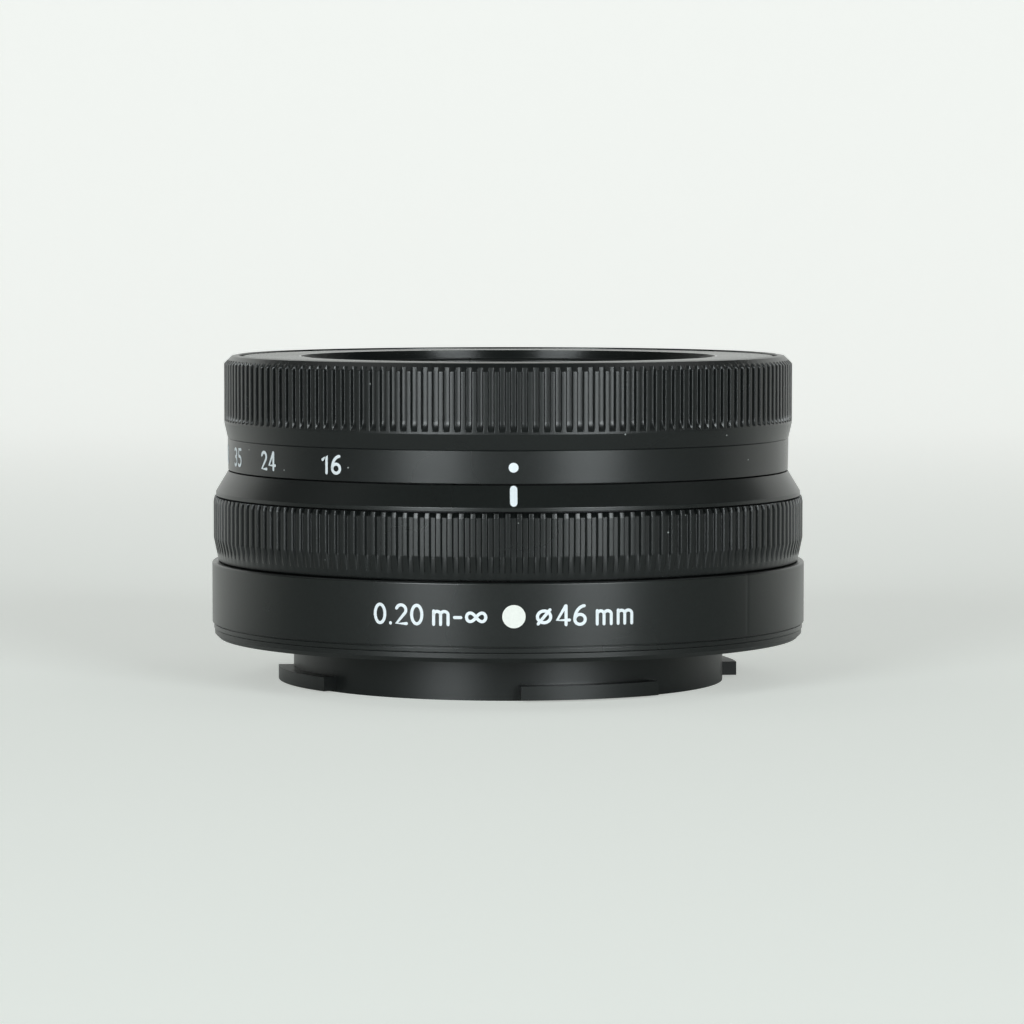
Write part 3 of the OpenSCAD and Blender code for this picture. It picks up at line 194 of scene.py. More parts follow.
class LensStage(bpy.types.PropertyGroup):
    """Camera and light."""

    camera_distance: length("Camera distance", "Level distance from the lens axis", 511.4)
    camera_height: length("Camera height", "Height above the mount's flange face", 47.6)
    camera_shift: length("Camera offset", "Sideways offset of the camera", 0.46)
    camera_pitch: angle("Camera pitch", "How far the camera looks down", 3.70)
    camera_azimuth: angle("Camera azimuth", "Turn of the camera about the lens", -1.1)
    focal_length: FloatProperty(name="Focal length", description="In millimetres", default=152.1, min=1)
    # The floor colour is darker than the backdrop colour: the sweep's one paper is painted with light
    # falling off towards the front
    floor: colour("Floor", "Pale floor", (0.69, 0.715, 0.68))
    backdrop: colour("Backdrop", "Pale wall behind", (0.86, 0.875, 0.845))
    lamp: colour("Lamp", "Colour of the front lamps", (0.92, 0.985, 1.0))
    room: colour("Room", "Colour of the surrounding light", (0.92, 0.95, 0.93))
    key_power: power("Key power", "Power of each front lamp", 7.6)
    side_power: power("Side power", "Power of each high side lamp", 1.2)
    back_power: power("Back power", "Power of the backdrop lamp", 0.2)
    glow: FloatProperty(name="Glow", description="Paleness that the sweep shows of itself", default=0.57)
    world_strength: FloatProperty(name="World", description="Strength of the room's light", default=0.10)


# Node helpers

# Places of the colour sockets on a Mix node
MIX_A, MIX_B, MIX_OUT = 6, 7, 2
# Most of a noise texture's values lie between these
NOISE_LOW, NOISE_HIGH = 0.3, 0.7
# Waves in a metre of a wave texture at scale 1
WAVES = 3.18


def add_node(tree, kind, inputs=None, **settings):
    """Adds a node, sets its attributes and the values of its inputs."""
    made = tree.nodes.new(kind)
    for key, value in settings.items():
        setattr(made, key, value)
    for key, value in (inputs or {}).items():
        made.inputs[key].default_value = value
    return made


def feed(tree, value, socket):
    """Links a socket to an output, or sets its plain value."""
    if isinstance(value, bpy.types.NodeSocket):
        tree.links.new(value, socket)
    else:
        socket.default_value = value


def sums(tree, operation, *values):
    """A number worked out from outputs and plain values."""
    made = add_node(tree, "ShaderNodeMath", operation=operation)
    for value, socket in zip(values, made.inputs):
        feed(tree, value, socket)
    return made.outputs[0]


def span(tree, source, low, high, first=0.0, last=1.0, kind="LINEAR"):
    """A number that goes from first to last while its source goes from low to high."""
    limits = {"From Min": low, "From Max": high, "To Min": first, "To Max": last}
    made = add_node(tree, "ShaderNodeMapRange", limits, interpolation_type=kind)
    tree.links.new(source, made.inputs["Value"])
    return made.outputs["Result"]


def ramp(tree, noise, first=0.0, last=1.0):
    """A number from first to last that follows a noise."""
    return span(tree, noise, NOISE_LOW, NOISE_HIGH, first, last)


def mix(tree, factor, first, second):
    """A colour between two, by a factor; each of the two is a colour or an output."""
    made = add_node(tree, "ShaderNodeMix", data_type="RGBA")
    tree.links.new(factor, made.inputs["Factor"])
    for place, value in ((MIX_A, first), (MIX_B, second)):
        if isinstance(value, bpy.types.NodeSocket):
            tree.links.new(value, made.inputs[place])
        else:
            made.inputs[place].default_value = (*value, 1.0)
    return made.outputs[MIX_OUT]


def bump(tree, shader, height, strength, depth_mm):
    """Feeds a height into the shader's normal."""
    made = add_node(tree, "ShaderNodeBump", {"Strength": strength, "Distance": depth_mm * MM})
    tree.links.new(height, made.inputs["Height"])
    tree.links.new(made.outputs["Normal"], shader.inputs["Normal"])


def scaled(tone, factor):
    """A colour times a factor."""
    return tuple(min(1.0, channel * factor) for channel in tone)


def new_group(name, inputs, outputs):
    """An empty shader node group with number sockets; returns its tree and its two end nodes."""
    tree = bpy.data.node_groups.new(name, "ShaderNodeTree")
    for label, default in inputs.items():
        socket = tree.interface.new_socket(name=label, in_out="INPUT", socket_type="NodeSocketFloat")
        socket.default_value = default
    for label in outputs:
        tree.interface.new_socket(name=label, in_out="OUTPUT", socket_type="NodeSocketFloat")
    return tree, tree.nodes.new("NodeGroupInput"), tree.nodes.new("NodeGroupOutput")


def grain_group():
    """Fine moulded grain: a height and a slow spread that vary over the surface."""
    found = bpy.data.node_groups.get("moulded_grain")
    if found:
        return found
    tree, start, end = new_group("moulded_grain", {"Scale": 4000.0}, ["Height", "Spread"])
    place = add_node(tree, "ShaderNodeTexCoord")
    fine = add_node(tree, "ShaderNodeTexNoise", {"Detail": 3.0, "Roughness": 0.62})
    slow = add_node(tree, "ShaderNodeTexNoise", {"Scale": 55.0, "Detail": 2.0, "Roughness": 0.5})
    tree.links.new(place.outputs["Object"], fine.inputs["Vector"])
    tree.links.new(place.outputs["Object"], slow.inputs["Vector"])
    tree.links.new(start.outputs["Scale"], fine.inputs["Scale"])
    tree.links.new(fine.outputs["Fac"], end.inputs["Height"])
    tree.links.new(slow.outputs["Fac"], end.inputs["Spread"])
    return tree


def dust_group():
    """Sparse pale specks of dust."""
    found = bpy.data.node_groups.get("dust_specks")
    if found:
        return found
    tree, start, end = new_group("dust_specks", {"Scale": 420.0, "Size": 0.04, "Share": 0.06}, ["Mask"])
    place = add_node(tree, "ShaderNodeTexCoord")
    cells = add_node(tree, "ShaderNodeTexVoronoi", {"Randomness": 1.0}, feature="F1")
    pick = add_node(tree, "ShaderNodeSeparateColor")
    tree.links.new(place.outputs["Object"], cells.inputs["Vector"])
    tree.links.new(start.outputs["Scale"], cells.inputs["Scale"])
    tree.links.new(cells.outputs["Color"], pick.inputs["Color"])
    near = sums(tree, "LESS_THAN", cells.outputs["Distance"], start.outputs["Size"])
    chosen = sums(tree, "LESS_THAN", pick.outputs["Red"], start.outputs["Share"])
    tree.links.new(sums(tree, "MULTIPLY", near, chosen), end.inputs["Mask"])
    return tree


def turned_group():
    """Fine rings left by turning: a height that varies with the radius and with Z."""
    found = bpy.data.node_groups.get("turned_rings")
    if found:
        return found
    tree, start, end = new_group("turned_rings", {"Scale": 3000.0, "Waver": 0.4}, ["Height"])
    place = add_node(tree, "ShaderNodeTexCoord")
    split = add_node(tree, "ShaderNodeSeparateXYZ")
    flat = add_node(tree, "ShaderNodeCombineXYZ")
    radius = add_node(tree, "ShaderNodeVectorMath", operation="LENGTH")
    line = add_node(tree, "ShaderNodeTexNoise", {"Detail": 2.0}, noise_dimensions="1D")
    tree.links.new(place.outputs["Object"], split.inputs[0])
    tree.links.new(split.outputs["X"], flat.inputs["X"])
    tree.links.new(split.outputs["Y"], flat.inputs["Y"])
    tree.links.new(flat.outputs[0], radius.inputs[0])
    tree.links.new(sums(tree, "ADD", radius.outputs["Value"], split.outputs["Z"]), line.inputs["W"])
    tree.links.new(start.outputs["Scale"], line.inputs["Scale"])
    tree.links.new(start.outputs["Waver"], line.inputs["Distortion"])
    tree.links.new(line.outputs["Fac"], end.inputs["Height"])
    return tree


def place_group(tree, group, **values):
    """Places a node group in a material with its own values."""
    made = tree.nodes.new("ShaderNodeGroup")
    made.node_tree = group
    for key, value in values.items():
        made.inputs[key].default_value = value
    return made


# Finishes

FINISHES = {}


def new_material(name, **sockets):
    """A material with one Principled shader whose plain values are set on its own sockets."""
    material = bpy.data.materials.new(name)
    material.use_nodes = True
    shader = material.node_tree.nodes["Principled BSDF"]
    for key, value in sockets.items():
        shader.inputs[key.replace("_", " ")].default_value = value
    return material, material.node_tree, shader


def coat(tree, shader, tone, roughness):
    """Feeds a tone and a roughness into the shader."""
    tree.links.new(tone, shader.inputs["Base Color"])
    tree.links.new(roughness, shader.inputs["Roughness"])


def plastic(name, tone, roughness, grain, relief, dust=0.0):
    """Moulded plastic with fine grain and, where asked, a few specks of dust."""
    dark, pale, spread, depth_mm = 0.82, 1.22, 0.03, 0.03
    material, tree, shader = new_material(name, IOR=1.5)
    texture = place_group(tree, grain_group(), Scale=grain)
    height = texture.outputs["Height"]
    shade = mix(tree, ramp(tree, height), scaled(tone, dark), scaled(tone, pale))
    if dust:
        specks = place_group(tree, dust_group(), Share=dust)
        shade = mix(tree, specks.outputs["Mask"], shade, bpy.context.scene.lens_finish.dust)
    coat(tree, shader, shade, ramp(tree, texture.outputs["Spread"], roughness - spread, roughness + spread))
    bump(tree, shader, height, relief, depth_mm)
    return material


def paint(name, tone):
    """Screen-printed white paint, very slightly uneven."""
    dark, pale, smooth, rough = 0.95, 1.03, 0.42, 0.5
    material, tree, shader = new_material(name, IOR=1.45)
    texture = place_group(tree, grain_group(), Scale=2600.0)
    height = texture.outputs["Height"]
    shade = mix(tree, ramp(tree, height), scaled(tone, dark), scaled(tone, pale))
    coat(tree, shader, shade, ramp(tree, texture.outputs["Spread"], smooth, rough))
    bump(tree, shader, height, strength=0.15, depth_mm=0.01)
    return material


def metal(name, tone, roughness, scale=3000.0, relief=0.2):
    """Turned or drawn metal with fine rings."""
    dark, pale, below, above = 0.88, 1.08, 0.05, 0.07
    material, tree, shader = new_material(name, Metallic=1.0)
    rings = place_group(tree, turned_group(), Scale=scale)
    texture = place_group(tree, grain_group(), Scale=1800.0)
    height = rings.outputs["Height"]
    shade = mix(tree, ramp(tree, texture.outputs["Spread"]), scaled(tone, dark), scaled(tone, pale))
    coat(tree, shader, shade, ramp(tree, height, roughness - below, roughness + above))
    bump(tree, shader, height, relief, depth_mm=0.01)
    return material


def glass(name, tone, film):
    """Optical glass whose coating tints its reflections."""
    dark, smooth, rough = 0.985, 0.004, 0.012
    material, tree, shader = new_material(
        name, Transmission_Weight=1.0, IOR=1.52, Thin_Film_Thickness=film, Thin_Film_IOR=1.38
    )
    spread = place_group(tree, grain_group(), Scale=900.0).outputs["Spread"]
    coat(tree, shader, mix(tree, spread, scaled(tone, dark), tone), ramp(tree, spread, smooth, rough))
    return material


def banded(name, first, second, pitch_mm, metallic, roughness, axis=None):
    """Fine bands of two colours, across an axis or as rings, as on printed traces or wound wire; on wound
    wire the darker bands are painted shade between the turns.
    """
    below, above = 0.04, 0.06
    material, tree, shader = new_material(name, Metallic=metallic)
    place = add_node(tree, "ShaderNodeTexCoord")
    wave = add_node(tree, "ShaderNodeTexWave", {"Scale": 1.0 / (pitch_mm * MM) / WAVES, "Distortion": 0.0})
    if axis:
        wave.wave_type = "BANDS"
        wave.bands_direction = axis
    else:
        wave.wave_type = "RINGS"
        wave.rings_direction = "Z"
    texture = place_group(tree, grain_group(), Scale=2500.0)
    tree.links.new(place.outputs["Object"], wave.inputs["Vector"])
    shade = mix(tree, wave.outputs["Fac"], first, second)
    coat(tree, shader, shade, ramp(tree, texture.outputs["Spread"], roughness - below, roughness + above))
    bump(tree, shader, wave.outputs["Fac"], strength=0.4, depth_mm=0.04)
    return material


def finish_set(tones):
    """What makes every finish, by its name."""
    return {
        "shell": lambda: plastic("shell_satin", tones.shell, 0.29, grain=3600.0, relief=0.08, dust=0.15),
        "grip": lambda: plastic("grip_satin", tones.grip, 0.28, grain=4200.0, relief=0.12, dust=0.40),
        "front": lambda: plastic("front_satin", tones.shell, 0.27, grain=5200.0, relief=0.01),
        "mouth": lambda: plastic("mouth_satin", tones.shell, 0.20, grain=5200.0, relief=0.01),
        "barrel": lambda: plastic("barrel_satin", tones.shell, 0.30, grain=5200.0, relief=0.04),
        "mount": lambda: plastic("mount_black", scaled(tones.shell, 0.9), 0.34, grain=5000.0, relief=0.12),
        "inner": lambda: plastic("inner_matt", tones.inner, 0.62, grain=3000.0, relief=0.30),
        "paint": lambda: paint("white_paint", tones.paint),
        "dot": lambda: paint("white_dot", tones.dot),
        "glass": lambda: glass("coated_glass", tones.glass, film=330.0),
        "glass_rear": lambda: glass("coated_glass_rear", tones.glass, film=420.0),
        "steel": lambda: metal("steel_bright", tones.steel, 0.26),
        "alloy": lambda: metal("alloy_turned", tones.alloy, 0.34, scale=2200.0, relief=0.3),
        "brass": lambda: metal("brass_turned", tones.brass, 0.28),
        "gold": lambda: metal("gold_plate", tones.gold, 0.18, scale=4000.0, relief=0.08),
        "can": lambda: metal("motor_can", tones.can, 0.38, scale=1800.0),
        "magnet": lambda: metal("magnet_nickel", tones.magnet, 0.30, scale=900.0),
        "blade": lambda: metal("blade_black", tones.blade, 0.42, scale=5200.0, relief=0.12),
        # Coil wire: the darker copper bands are painted shade in the creases between the turns
        "coil": lambda: banded(
            "coil_copper_painted_shade", scaled(tones.copper, 0.45), tones.copper,
            pitch_mm=0.12, metallic=0.9, roughness=0.3,
        ),
        "scale": lambda: banded(
            "encoder_stripes", tones.stripe_dark, tones.stripe_pale,
            pitch_mm=0.4, metallic=0.6, roughness=0.35, axis="X",
        ),
        "flex": lambda: banded(
            "flex_amber", scaled(tones.amber, 0.55), tones.amber,
            pitch_mm=0.5, metallic=0.0, roughness=0.32, axis="X",
        ),
        "board": lambda: banded(
            "board_green", scaled(tones.board, 0.7), scaled(tones.board, 1.5),
            pitch_mm=0.9, metallic=0.0, roughness=0.36, axis="DIAGONAL",
        ),
    }


def finish(name):
    """The material of a finish, made once."""
    if name not in FINISHES:
        FINISHES[name] = finish_set(bpy.context.scene.lens_finish)[name]()
    return FINISHES[name]


# Mesh helpers

# Edges sharper than these many degrees stay crisp, on plain pieces, ribs and painted figures
PLAIN_SHARP = 30.0
RIB_SHARP = 24.0
FIGURE_SHARP = 80.0


def add_mesh(name, points, faces, material, sharp_degrees=PLAIN_SHARP):
    """Links a new mesh object, smooth except at edges sharper than the angle."""
    mesh = bpy.data.meshes.new(name)
    mesh.from_pydata(points, [], faces)
    mesh.validate()
    for polygon in mesh.polygons:
        polygon.use_smooth = True
    mesh.set_sharp_from_angle(angle=math.radians(sharp_degrees))
    mesh.materials.append(material)
    made = bpy.data.objects.new(name, mesh)
    bpy.context.scene.collection.objects.link(made)
    return made


def rounded(corners, steps=4):
    """A closed outline in (r, z); each corner (r, z, fillet) becomes an arc between two hold points."""
    hold = 0.02 * MM
    outline = []
    count = len(corners)
    for i, (r, z, fillet) in enumerate(corners):
        here = Vector((r, z))
        if fillet <= 0:
            outline.append((r, z))
            continue
        back = Vector(corners[i - 1][:2]) - here
        ahead = Vector(corners[(i + 1) % count][:2]) - here
        room_back, room_ahead = back.length / 2, ahead.length / 2
        back.normalize()
        ahead.normalize()
        half = math.acos(max(-1.0, min(1.0, back.dot(ahead)))) / 2
        reach = fillet / math.tan(half)
        centre = here + (back + ahead).normalized() * (fillet / math.sin(half))
        start = here + back * reach - centre
        turn = start.angle_signed(here + ahead * reach - centre)
        if reach + hold < room_back:
            outline.append(tuple(here + back * (reach + hold)))
        for k in range(steps + 1):
            share = -turn * k / steps
            outline.append((
                centre.x + start.x * math.cos(share) - start.y * math.sin(share),
                centre.y + start.x * math.sin(share) + start.y * math.cos(share),
            ))
        if reach + hold < room_ahead:
            outline.append(tuple(here + ahead * (reach + hold)))
    return outline


def lathe(name, rows, columns, material, sharp_degrees=PLAIN_SHARP):
    """A closed ring: rows are (r on a land, r in a groove, z), columns are (angle, share of the groove)."""
    points = []
    for turn, share in columns:
        c, s = math.cos(turn), math.sin(turn)
        for land, floor, z in rows:
            r = land + (floor - land) * share
            points.append((r * c, r * s, z))
    high, wide = len(rows), len(columns)
    faces = []
    for i in range(wide):
        j = (i + 1) % wide
        for k in range(high):
            m = (k + 1) % high
            faces.append((i * high + k, j * high + k, j * high + m, i * high + m))
    return add_mesh(name, points, faces, material, sharp_degrees)


def even_columns(count):
    """Plain columns round a ring."""
    return [(math.tau * i / count, 0.0) for i in range(count)]


def rib_columns(count, radius, half_profile):
    """Columns round a ribbed ring; half_profile is (distance from a groove's middle, share of its depth)."""
    step = math.tau / count
    across = [(-d, share) for d, share in reversed(half_profile) if d > 0] + list(half_profile)
    return [
        (INDEX_ANGLE + i * step + distance / radius, share)
        for i in range(count)
        for distance, share in across
    ]


def rib_edge(reach, radius, depth, steps=6, steepest=80):
    """A rib's rounded edge, from its wall to its land, as (distance from the groove's middle, share)."""
    turns = [math.radians(steepest * (steps - i) / steps) for i in range(steps + 1)]
    return [(reach - radius * math.sin(t), radius * (1 - math.cos(t)) / depth) for t in turns]


def plain_rows(outline):
    """Rows of a ring without grooves."""
    return [(r, r, z) for r, z in outline]


def ribbed_rows(outline, floor_at):
    """Rows of a ribbed ring: floor_at(z) is the radius that a groove cuts down to, or None."""
    rows = []
    for r, z in outline:
        floor = floor_at(z)
        rows.append((r, r if floor is None else min(r, floor), z))
    return rows


def wrap(made, surface, middle_angle, middle_z):
    """Bends a flat mark, drawn in X and Y with its thickness in Z, round the surface r(z)."""
    for vertex in made.data.vertices:
        z = middle_z + vertex.co.y
        r = surface(z)
        turn = middle_angle + vertex.co.x / r
        r += vertex.co.z
        vertex.co = (r * math.cos(turn), r * math.sin(turn), z)
    made.data.update()


def flat_mark(name, outline, thickness, material):
    """A flat plate of paint from an outline in X and Y."""
    count = len(outline)
    points = [(x, y, -thickness) for x, y in outline] + [(x, y, thickness) for x, y in outline]
    points += [(0.0, 0.0, thickness)]
    faces = [tuple(reversed(range(count)))]
    faces += [(i, (i + 1) % count, count + (i + 1) % count, count + i) for i in range(count)]
    faces += [(count + i, count + (i + 1) % count, 2 * count) for i in range(count)]
    return add_mesh(name, points, faces, material)


def capsule(width, height, steps=16):
    """Outline of an upright bar with round ends; width equal to height gives a disc."""
    half = width / 2
    rise = height / 2 - half
    turns = [math.pi * i / steps for i in range(steps + 1)]
    top = [(half * math.cos(t), rise + half * math.sin(t)) for t in turns]
    foot = [(-x, -y) for x, y in top]
    if rise <= 0:
        return top[:-1] + foot[:-1]
    return top + foot


def arc(x, y, rx, ry, first, last, steps=14):
    """Points along part of an ellipse, between two angles in degrees."""
    turns = [math.radians(first + (last - first) * i / steps) for i in range(steps + 1)]
    return [(x + rx * math.cos(t), y + ry * math.sin(t)) for t in turns]


def lemniscate(x, y, wide, high, steps=40):
    """Points along a lying figure of eight."""
    points = []
    for i in range(steps + 1):
        c, s = math.cos(math.tau * i / steps), math.sin(math.tau * i / steps)
        points.append((x + wide * c / (1 + s * s), y + high * s * c / (1 + s * s)))
    return points


# Each figure is its width and its strokes, on a grid one capital high
FIGURES = {
    "0": (0.50, [arc(0.25, 0.5, 0.21, 0.43, 90, 450, 32)]),
    "1": (0.40, [[(0.06, 0.74), (0.28, 0.93), (0.28, 0.07)]]),
    "2": (0.50, [arc(0.25, 0.70, 0.20, 0.23, 160, -35) + [(0.06, 0.07), (0.47, 0.07)]]),
    "3": (0.50, [arc(0.21, 0.725, 0.21, 0.205, 130, -90), arc(0.21, 0.295, 0.24, 0.225, 90, -130)]),
    "4": (0.54, [[(0.37, 0.93), (0.04, 0.28), (0.52, 0.28)], [(0.39, 0.93), (0.39, 0.07)]]),
    "5": (0.50, [[(0.43, 0.93), (0.11, 0.93), (0.09, 0.55)] + arc(0.20, 0.325, 0.25, 0.255, 115, -130)]),
    "6": (0.52, [arc(0.46, 0.30, 0.41, 0.63, 95, 180) + arc(0.26, 0.30, 0.21, 0.23, 180, 540, 28)]),
    "m": (0.72, [
        [(0.06, 0.68), (0.06, 0.07)],
        arc(0.20, 0.52, 0.14, 0.15, 180, 0) + [(0.34, 0.07)],
        arc(0.49, 0.52, 0.15, 0.15, 180, 0) + [(0.64, 0.07)],
    ]),
    "-": (0.30, [[(0.03, 0.40), (0.27, 0.40)]]),
    ".": (0.10, [[(0.05, 0.075), (0.05, 0.08)]]),
    " ": (0.08, []),
    "∞": (0.86, [lemniscate(0.43, 0.42, 0.38, 0.56)]),
    "⌀": (0.66, [arc(0.33, 0.44, 0.26, 0.27, 0, 360, 32), [(0.10, 0.12), (0.56, 0.76)]]),
}
FIGURE_GAP = 0.15
FIGURE_STRETCH = 1.18


def stroke_rings(path, half):
    """Middle, direction and scale of each ring along a stroke, with round ends."""
    spots = [Vector(p) for p in path]
    rings = []
    for i, spot in enumerate(spots):
        ahead = (spots[min(i + 1, len(spots) - 1)] - spots[max(i - 1, 0)]).normalized()
        rings.append((spot, ahead, 1.0))
    start, end = rings[0], rings[-1]
    caps = [math.radians(a) for a in (30, 60, 85)]
    front = [(start[0] - start[1] * half * math.sin(a), start[1], math.cos(a)) for a in reversed(caps)]
    back = [(end[0] + end[1] * half * math.sin(a), end[1], math.cos(a)) for a in caps]
    return front + rings + back


def add_stroke(points, faces, path, half, thickness, sides=8):
    """Adds one flat bead of paint with round ends along a path."""
    first = len(points)
    rings = stroke_rings(path, half)
    for middle, ahead, scale in rings:
        for k in range(sides):
            turn = math.tau * (k + 0.5) / sides
            across = half * scale * math.cos(turn)
            rise = thickness * scale * math.sin(turn)
            points.append((middle.x - ahead.y * across, middle.y + ahead.x * across, rise))
    for i in range(len(rings) - 1):
        low, high = first + i * sides, first + (i + 1) * sides
        for k in range(sides):
            m = (k + 1) % sides
            faces.append((low + k, low + m, high + m, high + k))
    last = first + (len(rings) - 1) * sides
    faces.append(tuple(first + k for k in reversed(range(sides))))
    faces.append(tuple(last + k for k in range(sides)))


def figures(name, words, height, shape):
    """Painted figures in one mesh, centred on the origin."""
    points, faces = [], []
    total = sum(FIGURES[letter][0] for letter in words) + FIGURE_GAP * (len(words) - 1)
    left = -total / 2
    for letter in words:
        wide, strokes = FIGURES[letter]
        for path in strokes:
            placed = [((left + x) * height * FIGURE_STRETCH, (y - 0.5) * height) for x, y in path]
            add_stroke(points, faces, placed, shape.stroke_w / 2, shape.paint_t)
        left += wide + FIGURE_GAP
    return add_mesh(name, points, faces, finish("paint"), FIGURE_SHARP)


def seat(made, body, slot, *nodes):
    """Puts a finished piece on its body and hides the nodes that it stands for; the slot is not used."""
    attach(made, body)
    if nodes:
        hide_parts(*nodes)


def dress(material_name, *nodes):
    """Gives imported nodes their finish."""
    for node in nodes:
        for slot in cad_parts[node].material_slots:
            slot.material = finish(material_name)


# Stage

# The sweep, in metres
SWEEP_HALF = 3.0
SWEEP_FRONT = -2.0
SWEEP_BACK = 0.55
SWEEP_BEND = 0.90
SWEEP_TOP = 1.0
SWEEP_STEPS = 24
# Where along Y its colour turns from floor to backdrop, a painted fall-off of light that leaves the paper
# paler towards the back
FALLOFF_SPAN = (-0.05, 0.60)
# Where along Y reflections begin to see its glow
WAKE_SPAN = (-0.02, 0.06)
# How far aside, and from where in front, its glow shows
POOL_SPAN = (0.50, 0.20)
FORE_SPAN = (-0.50, -0.22)
# Where along Y, and by how much, its glow rises
FAR_SPAN = (0.10, 0.70)
FAR_LIFT = 1.2
PAPER_SMOOTH, PAPER_ROUGH = 0.88, 0.92

# Soft lamps, with places and sizes in metres
LENS_MIDDLE = (0.0, 0.0, 15 * MM)
KEY_REACH = 1.15
KEY_SIDE = math.radians(31)
KEY_RISE = 0.257
KEY_SIZE = (0.48, 0.50)
SIDE_ASIDE, SIDE_BACK, SIDE_RISE = 0.95, 0.30, 1.6
SIDE_SIZE = (0.9, 0.9)
WASH_PLACE = (0.0, 0.30, 1.1)
WASH_TARGET = (0.0, 1.05, 0.35)
WASH_SIZE = (1.6, 0.3)

# Width of the camera's sensor, in millimetres, and its nearest sight, in metres
SENSOR_W = 36.0
NEAR_CLIP = 0.01


def add_lamp(name, place, target, size, watts, tone=(1.0, 1.0, 1.0)):
    """A soft rectangular lamp, turned towards a point."""
    lamp = bpy.data.lights.new(name, "AREA")
    lamp.shape = "RECTANGLE"
    lamp.size, lamp.size_y = size
    lamp.energy = watts
    lamp.color = tone
    made = bpy.data.objects.new(name, lamp)
    made.location = place
    made.rotation_euler = (Vector(target) - made.location).to_track_quat("-Z", "Y").to_euler()
    bpy.context.scene.collection.objects.link(made)


class LENS_OT_stage(bpy.types.Operator):
    """Makes the pale sweep, the soft lamps and the camera"""

    bl_idname = "lens.stage"
    bl_label = "Stage"

    def execute(self, context):
        scene = context.scene
        stage = scene.lens_stage
        scene.view_settings.view_transform = "Standard"
        self.make_sweep(stage)
        self.make_light(scene, stage)
        self.make_camera(scene, stage)
        return {"FINISHED"}

    def make_sweep(self, stage):
        """The floor that bends up into the backdrop."""
        profile = [(SWEEP_FRONT, FLOOR_Z)]
        for i in range(SWEEP_STEPS + 1):
            turn = math.pi / 2 * i / SWEEP_STEPS
            y = SWEEP_BACK + SWEEP_BEND * math.sin(turn)
            profile.append((y, FLOOR_Z + SWEEP_BEND * (1 - math.cos(turn))))
        profile.append((SWEEP_BACK + SWEEP_BEND, SWEEP_TOP))
        points = [(x, y, z) for x in (-SWEEP_HALF, SWEEP_HALF) for y, z in profile]
        count = len(profile)
        faces = [(i, count + i, count + i + 1, i + 1) for i in range(count - 1)]
        add_mesh("pale_sweep", points, faces, self.paper(stage))

    def paper(self, stage):
        """Pale paper that glows for the camera and, behind the lens, in reflections."""
        material, tree, shader = new_material("pale_sweep")
        texture = place_group(tree, grain_group(), Scale=300.0)
        place = add_node(tree, "ShaderNodeTexCoord")
        split = add_node(tree, "ShaderNodeSeparateXYZ")
        path = add_node(tree, "ShaderNodeLightPath")
        tree.links.new(place.outputs["Object"], split.inputs[0])
        depth = split.outputs["Y"]
        # Painted fall-off of light: the paper's colour grows paler from the floor towards the backdrop
        painted_falloff = span(tree, depth, *FALLOFF_SPAN)
        wall = mix(tree, painted_falloff, stage.floor, stage.backdrop)
        coat(tree, shader, wall, ramp(tree, texture.outputs["Spread"], PAPER_SMOOTH, PAPER_ROUGH))
        aside = sums(tree, "ABSOLUTE", split.outputs["X"])
        pool = sums(tree, "MAXIMUM", span(tree, aside, *POOL_SPAN), painted_falloff)
        lit = sums(tree, "MULTIPLY", pool, span(tree, depth, *FORE_SPAN))
        shown = sums(tree, "MULTIPLY", lit, path.outputs["Is Camera Ray"])
        mirrored = sums(tree, "MAXIMUM", path.outputs["Is Glossy Ray"], path.outputs["Is Transmission Ray"])
        behind = sums(tree, "MULTIPLY", mirrored, span(tree, depth, *WAKE_SPAN))
        lift = span(tree, depth, *FAR_SPAN, first=1.0, last=FAR_LIFT, kind="SMOOTHSTEP")
        lifted = sums(tree, "MULTIPLY", sums(tree, "ADD", shown, behind), lift)
        tree.links.new(wall, shader.inputs["Emission Color"])
        tree.links.new(sums(tree, "MULTIPLY", lifted, stage.glow), shader.inputs["Emission Strength"])
        return material

    def make_light(self, scene, stage):
        """Two front lamps, two high side lamps, a wash on the backdrop and a faint room."""
        for name, sign in (("key_left", -1), ("key_right", 1)):
            place = (sign * KEY_REACH * math.sin(KEY_SIDE), -KEY_REACH * math.cos(KEY_SIDE), KEY_RISE)
            add_lamp(name, place, LENS_MIDDLE, KEY_SIZE, stage.key_power, stage.lamp)
        for name, sign in (("side_left", -1), ("side_right", 1)):
            place = (sign * SIDE_ASIDE, SIDE_BACK, SIDE_RISE)
            add_lamp(name, place, (0.0, 0.0, 0.0), SIDE_SIZE, stage.side_power)
        add_lamp("back_wash", WASH_PLACE, WASH_TARGET, WASH_SIZE, stage.back_power)
        world = bpy.data.worlds.new("pale_room")
        world.use_nodes = True
        back = world.node_tree.nodes["Background"]
        back.inputs["Color"].default_value = (*stage.room, 1.0)
        back.inputs["Strength"].default_value = stage.world_strength
        scene.world = world

    def make_camera(self, scene, stage):
        """The camera of the photograph."""
        turn = stage.camera_azimuth
        camera = bpy.data.cameras.new("photo_camera")
        camera.sensor_width = SENSOR_W
        camera.lens = stage.focal_length
        camera.clip_start = NEAR_CLIP
        made = bpy.data.objects.new("photo_camera", camera)
        made.location = (
            stage.camera_distance * math.sin(turn) + stage.camera_shift * math.cos(turn),
            -stage.camera_distance * math.cos(turn) + stage.camera_shift * math.sin(turn),
            stage.camera_height,
        )
        made.rotation_euler = (math.pi / 2 - stage.camera_pitch, 0.0, turn)
        scene.collection.objects.link(made)
        scene.camera = made


# Rings

CONE_COLUMNS = 360
MOUTH_COLUMNS = 240
# Rounded foot of a zoom groove: distance from the groove's side, in millimetres, and share of its depth
ZOOM_FOOT = ((0.17, 1.0), (0.135, 0.98), (0.11, 0.94), (0.095, 0.87))


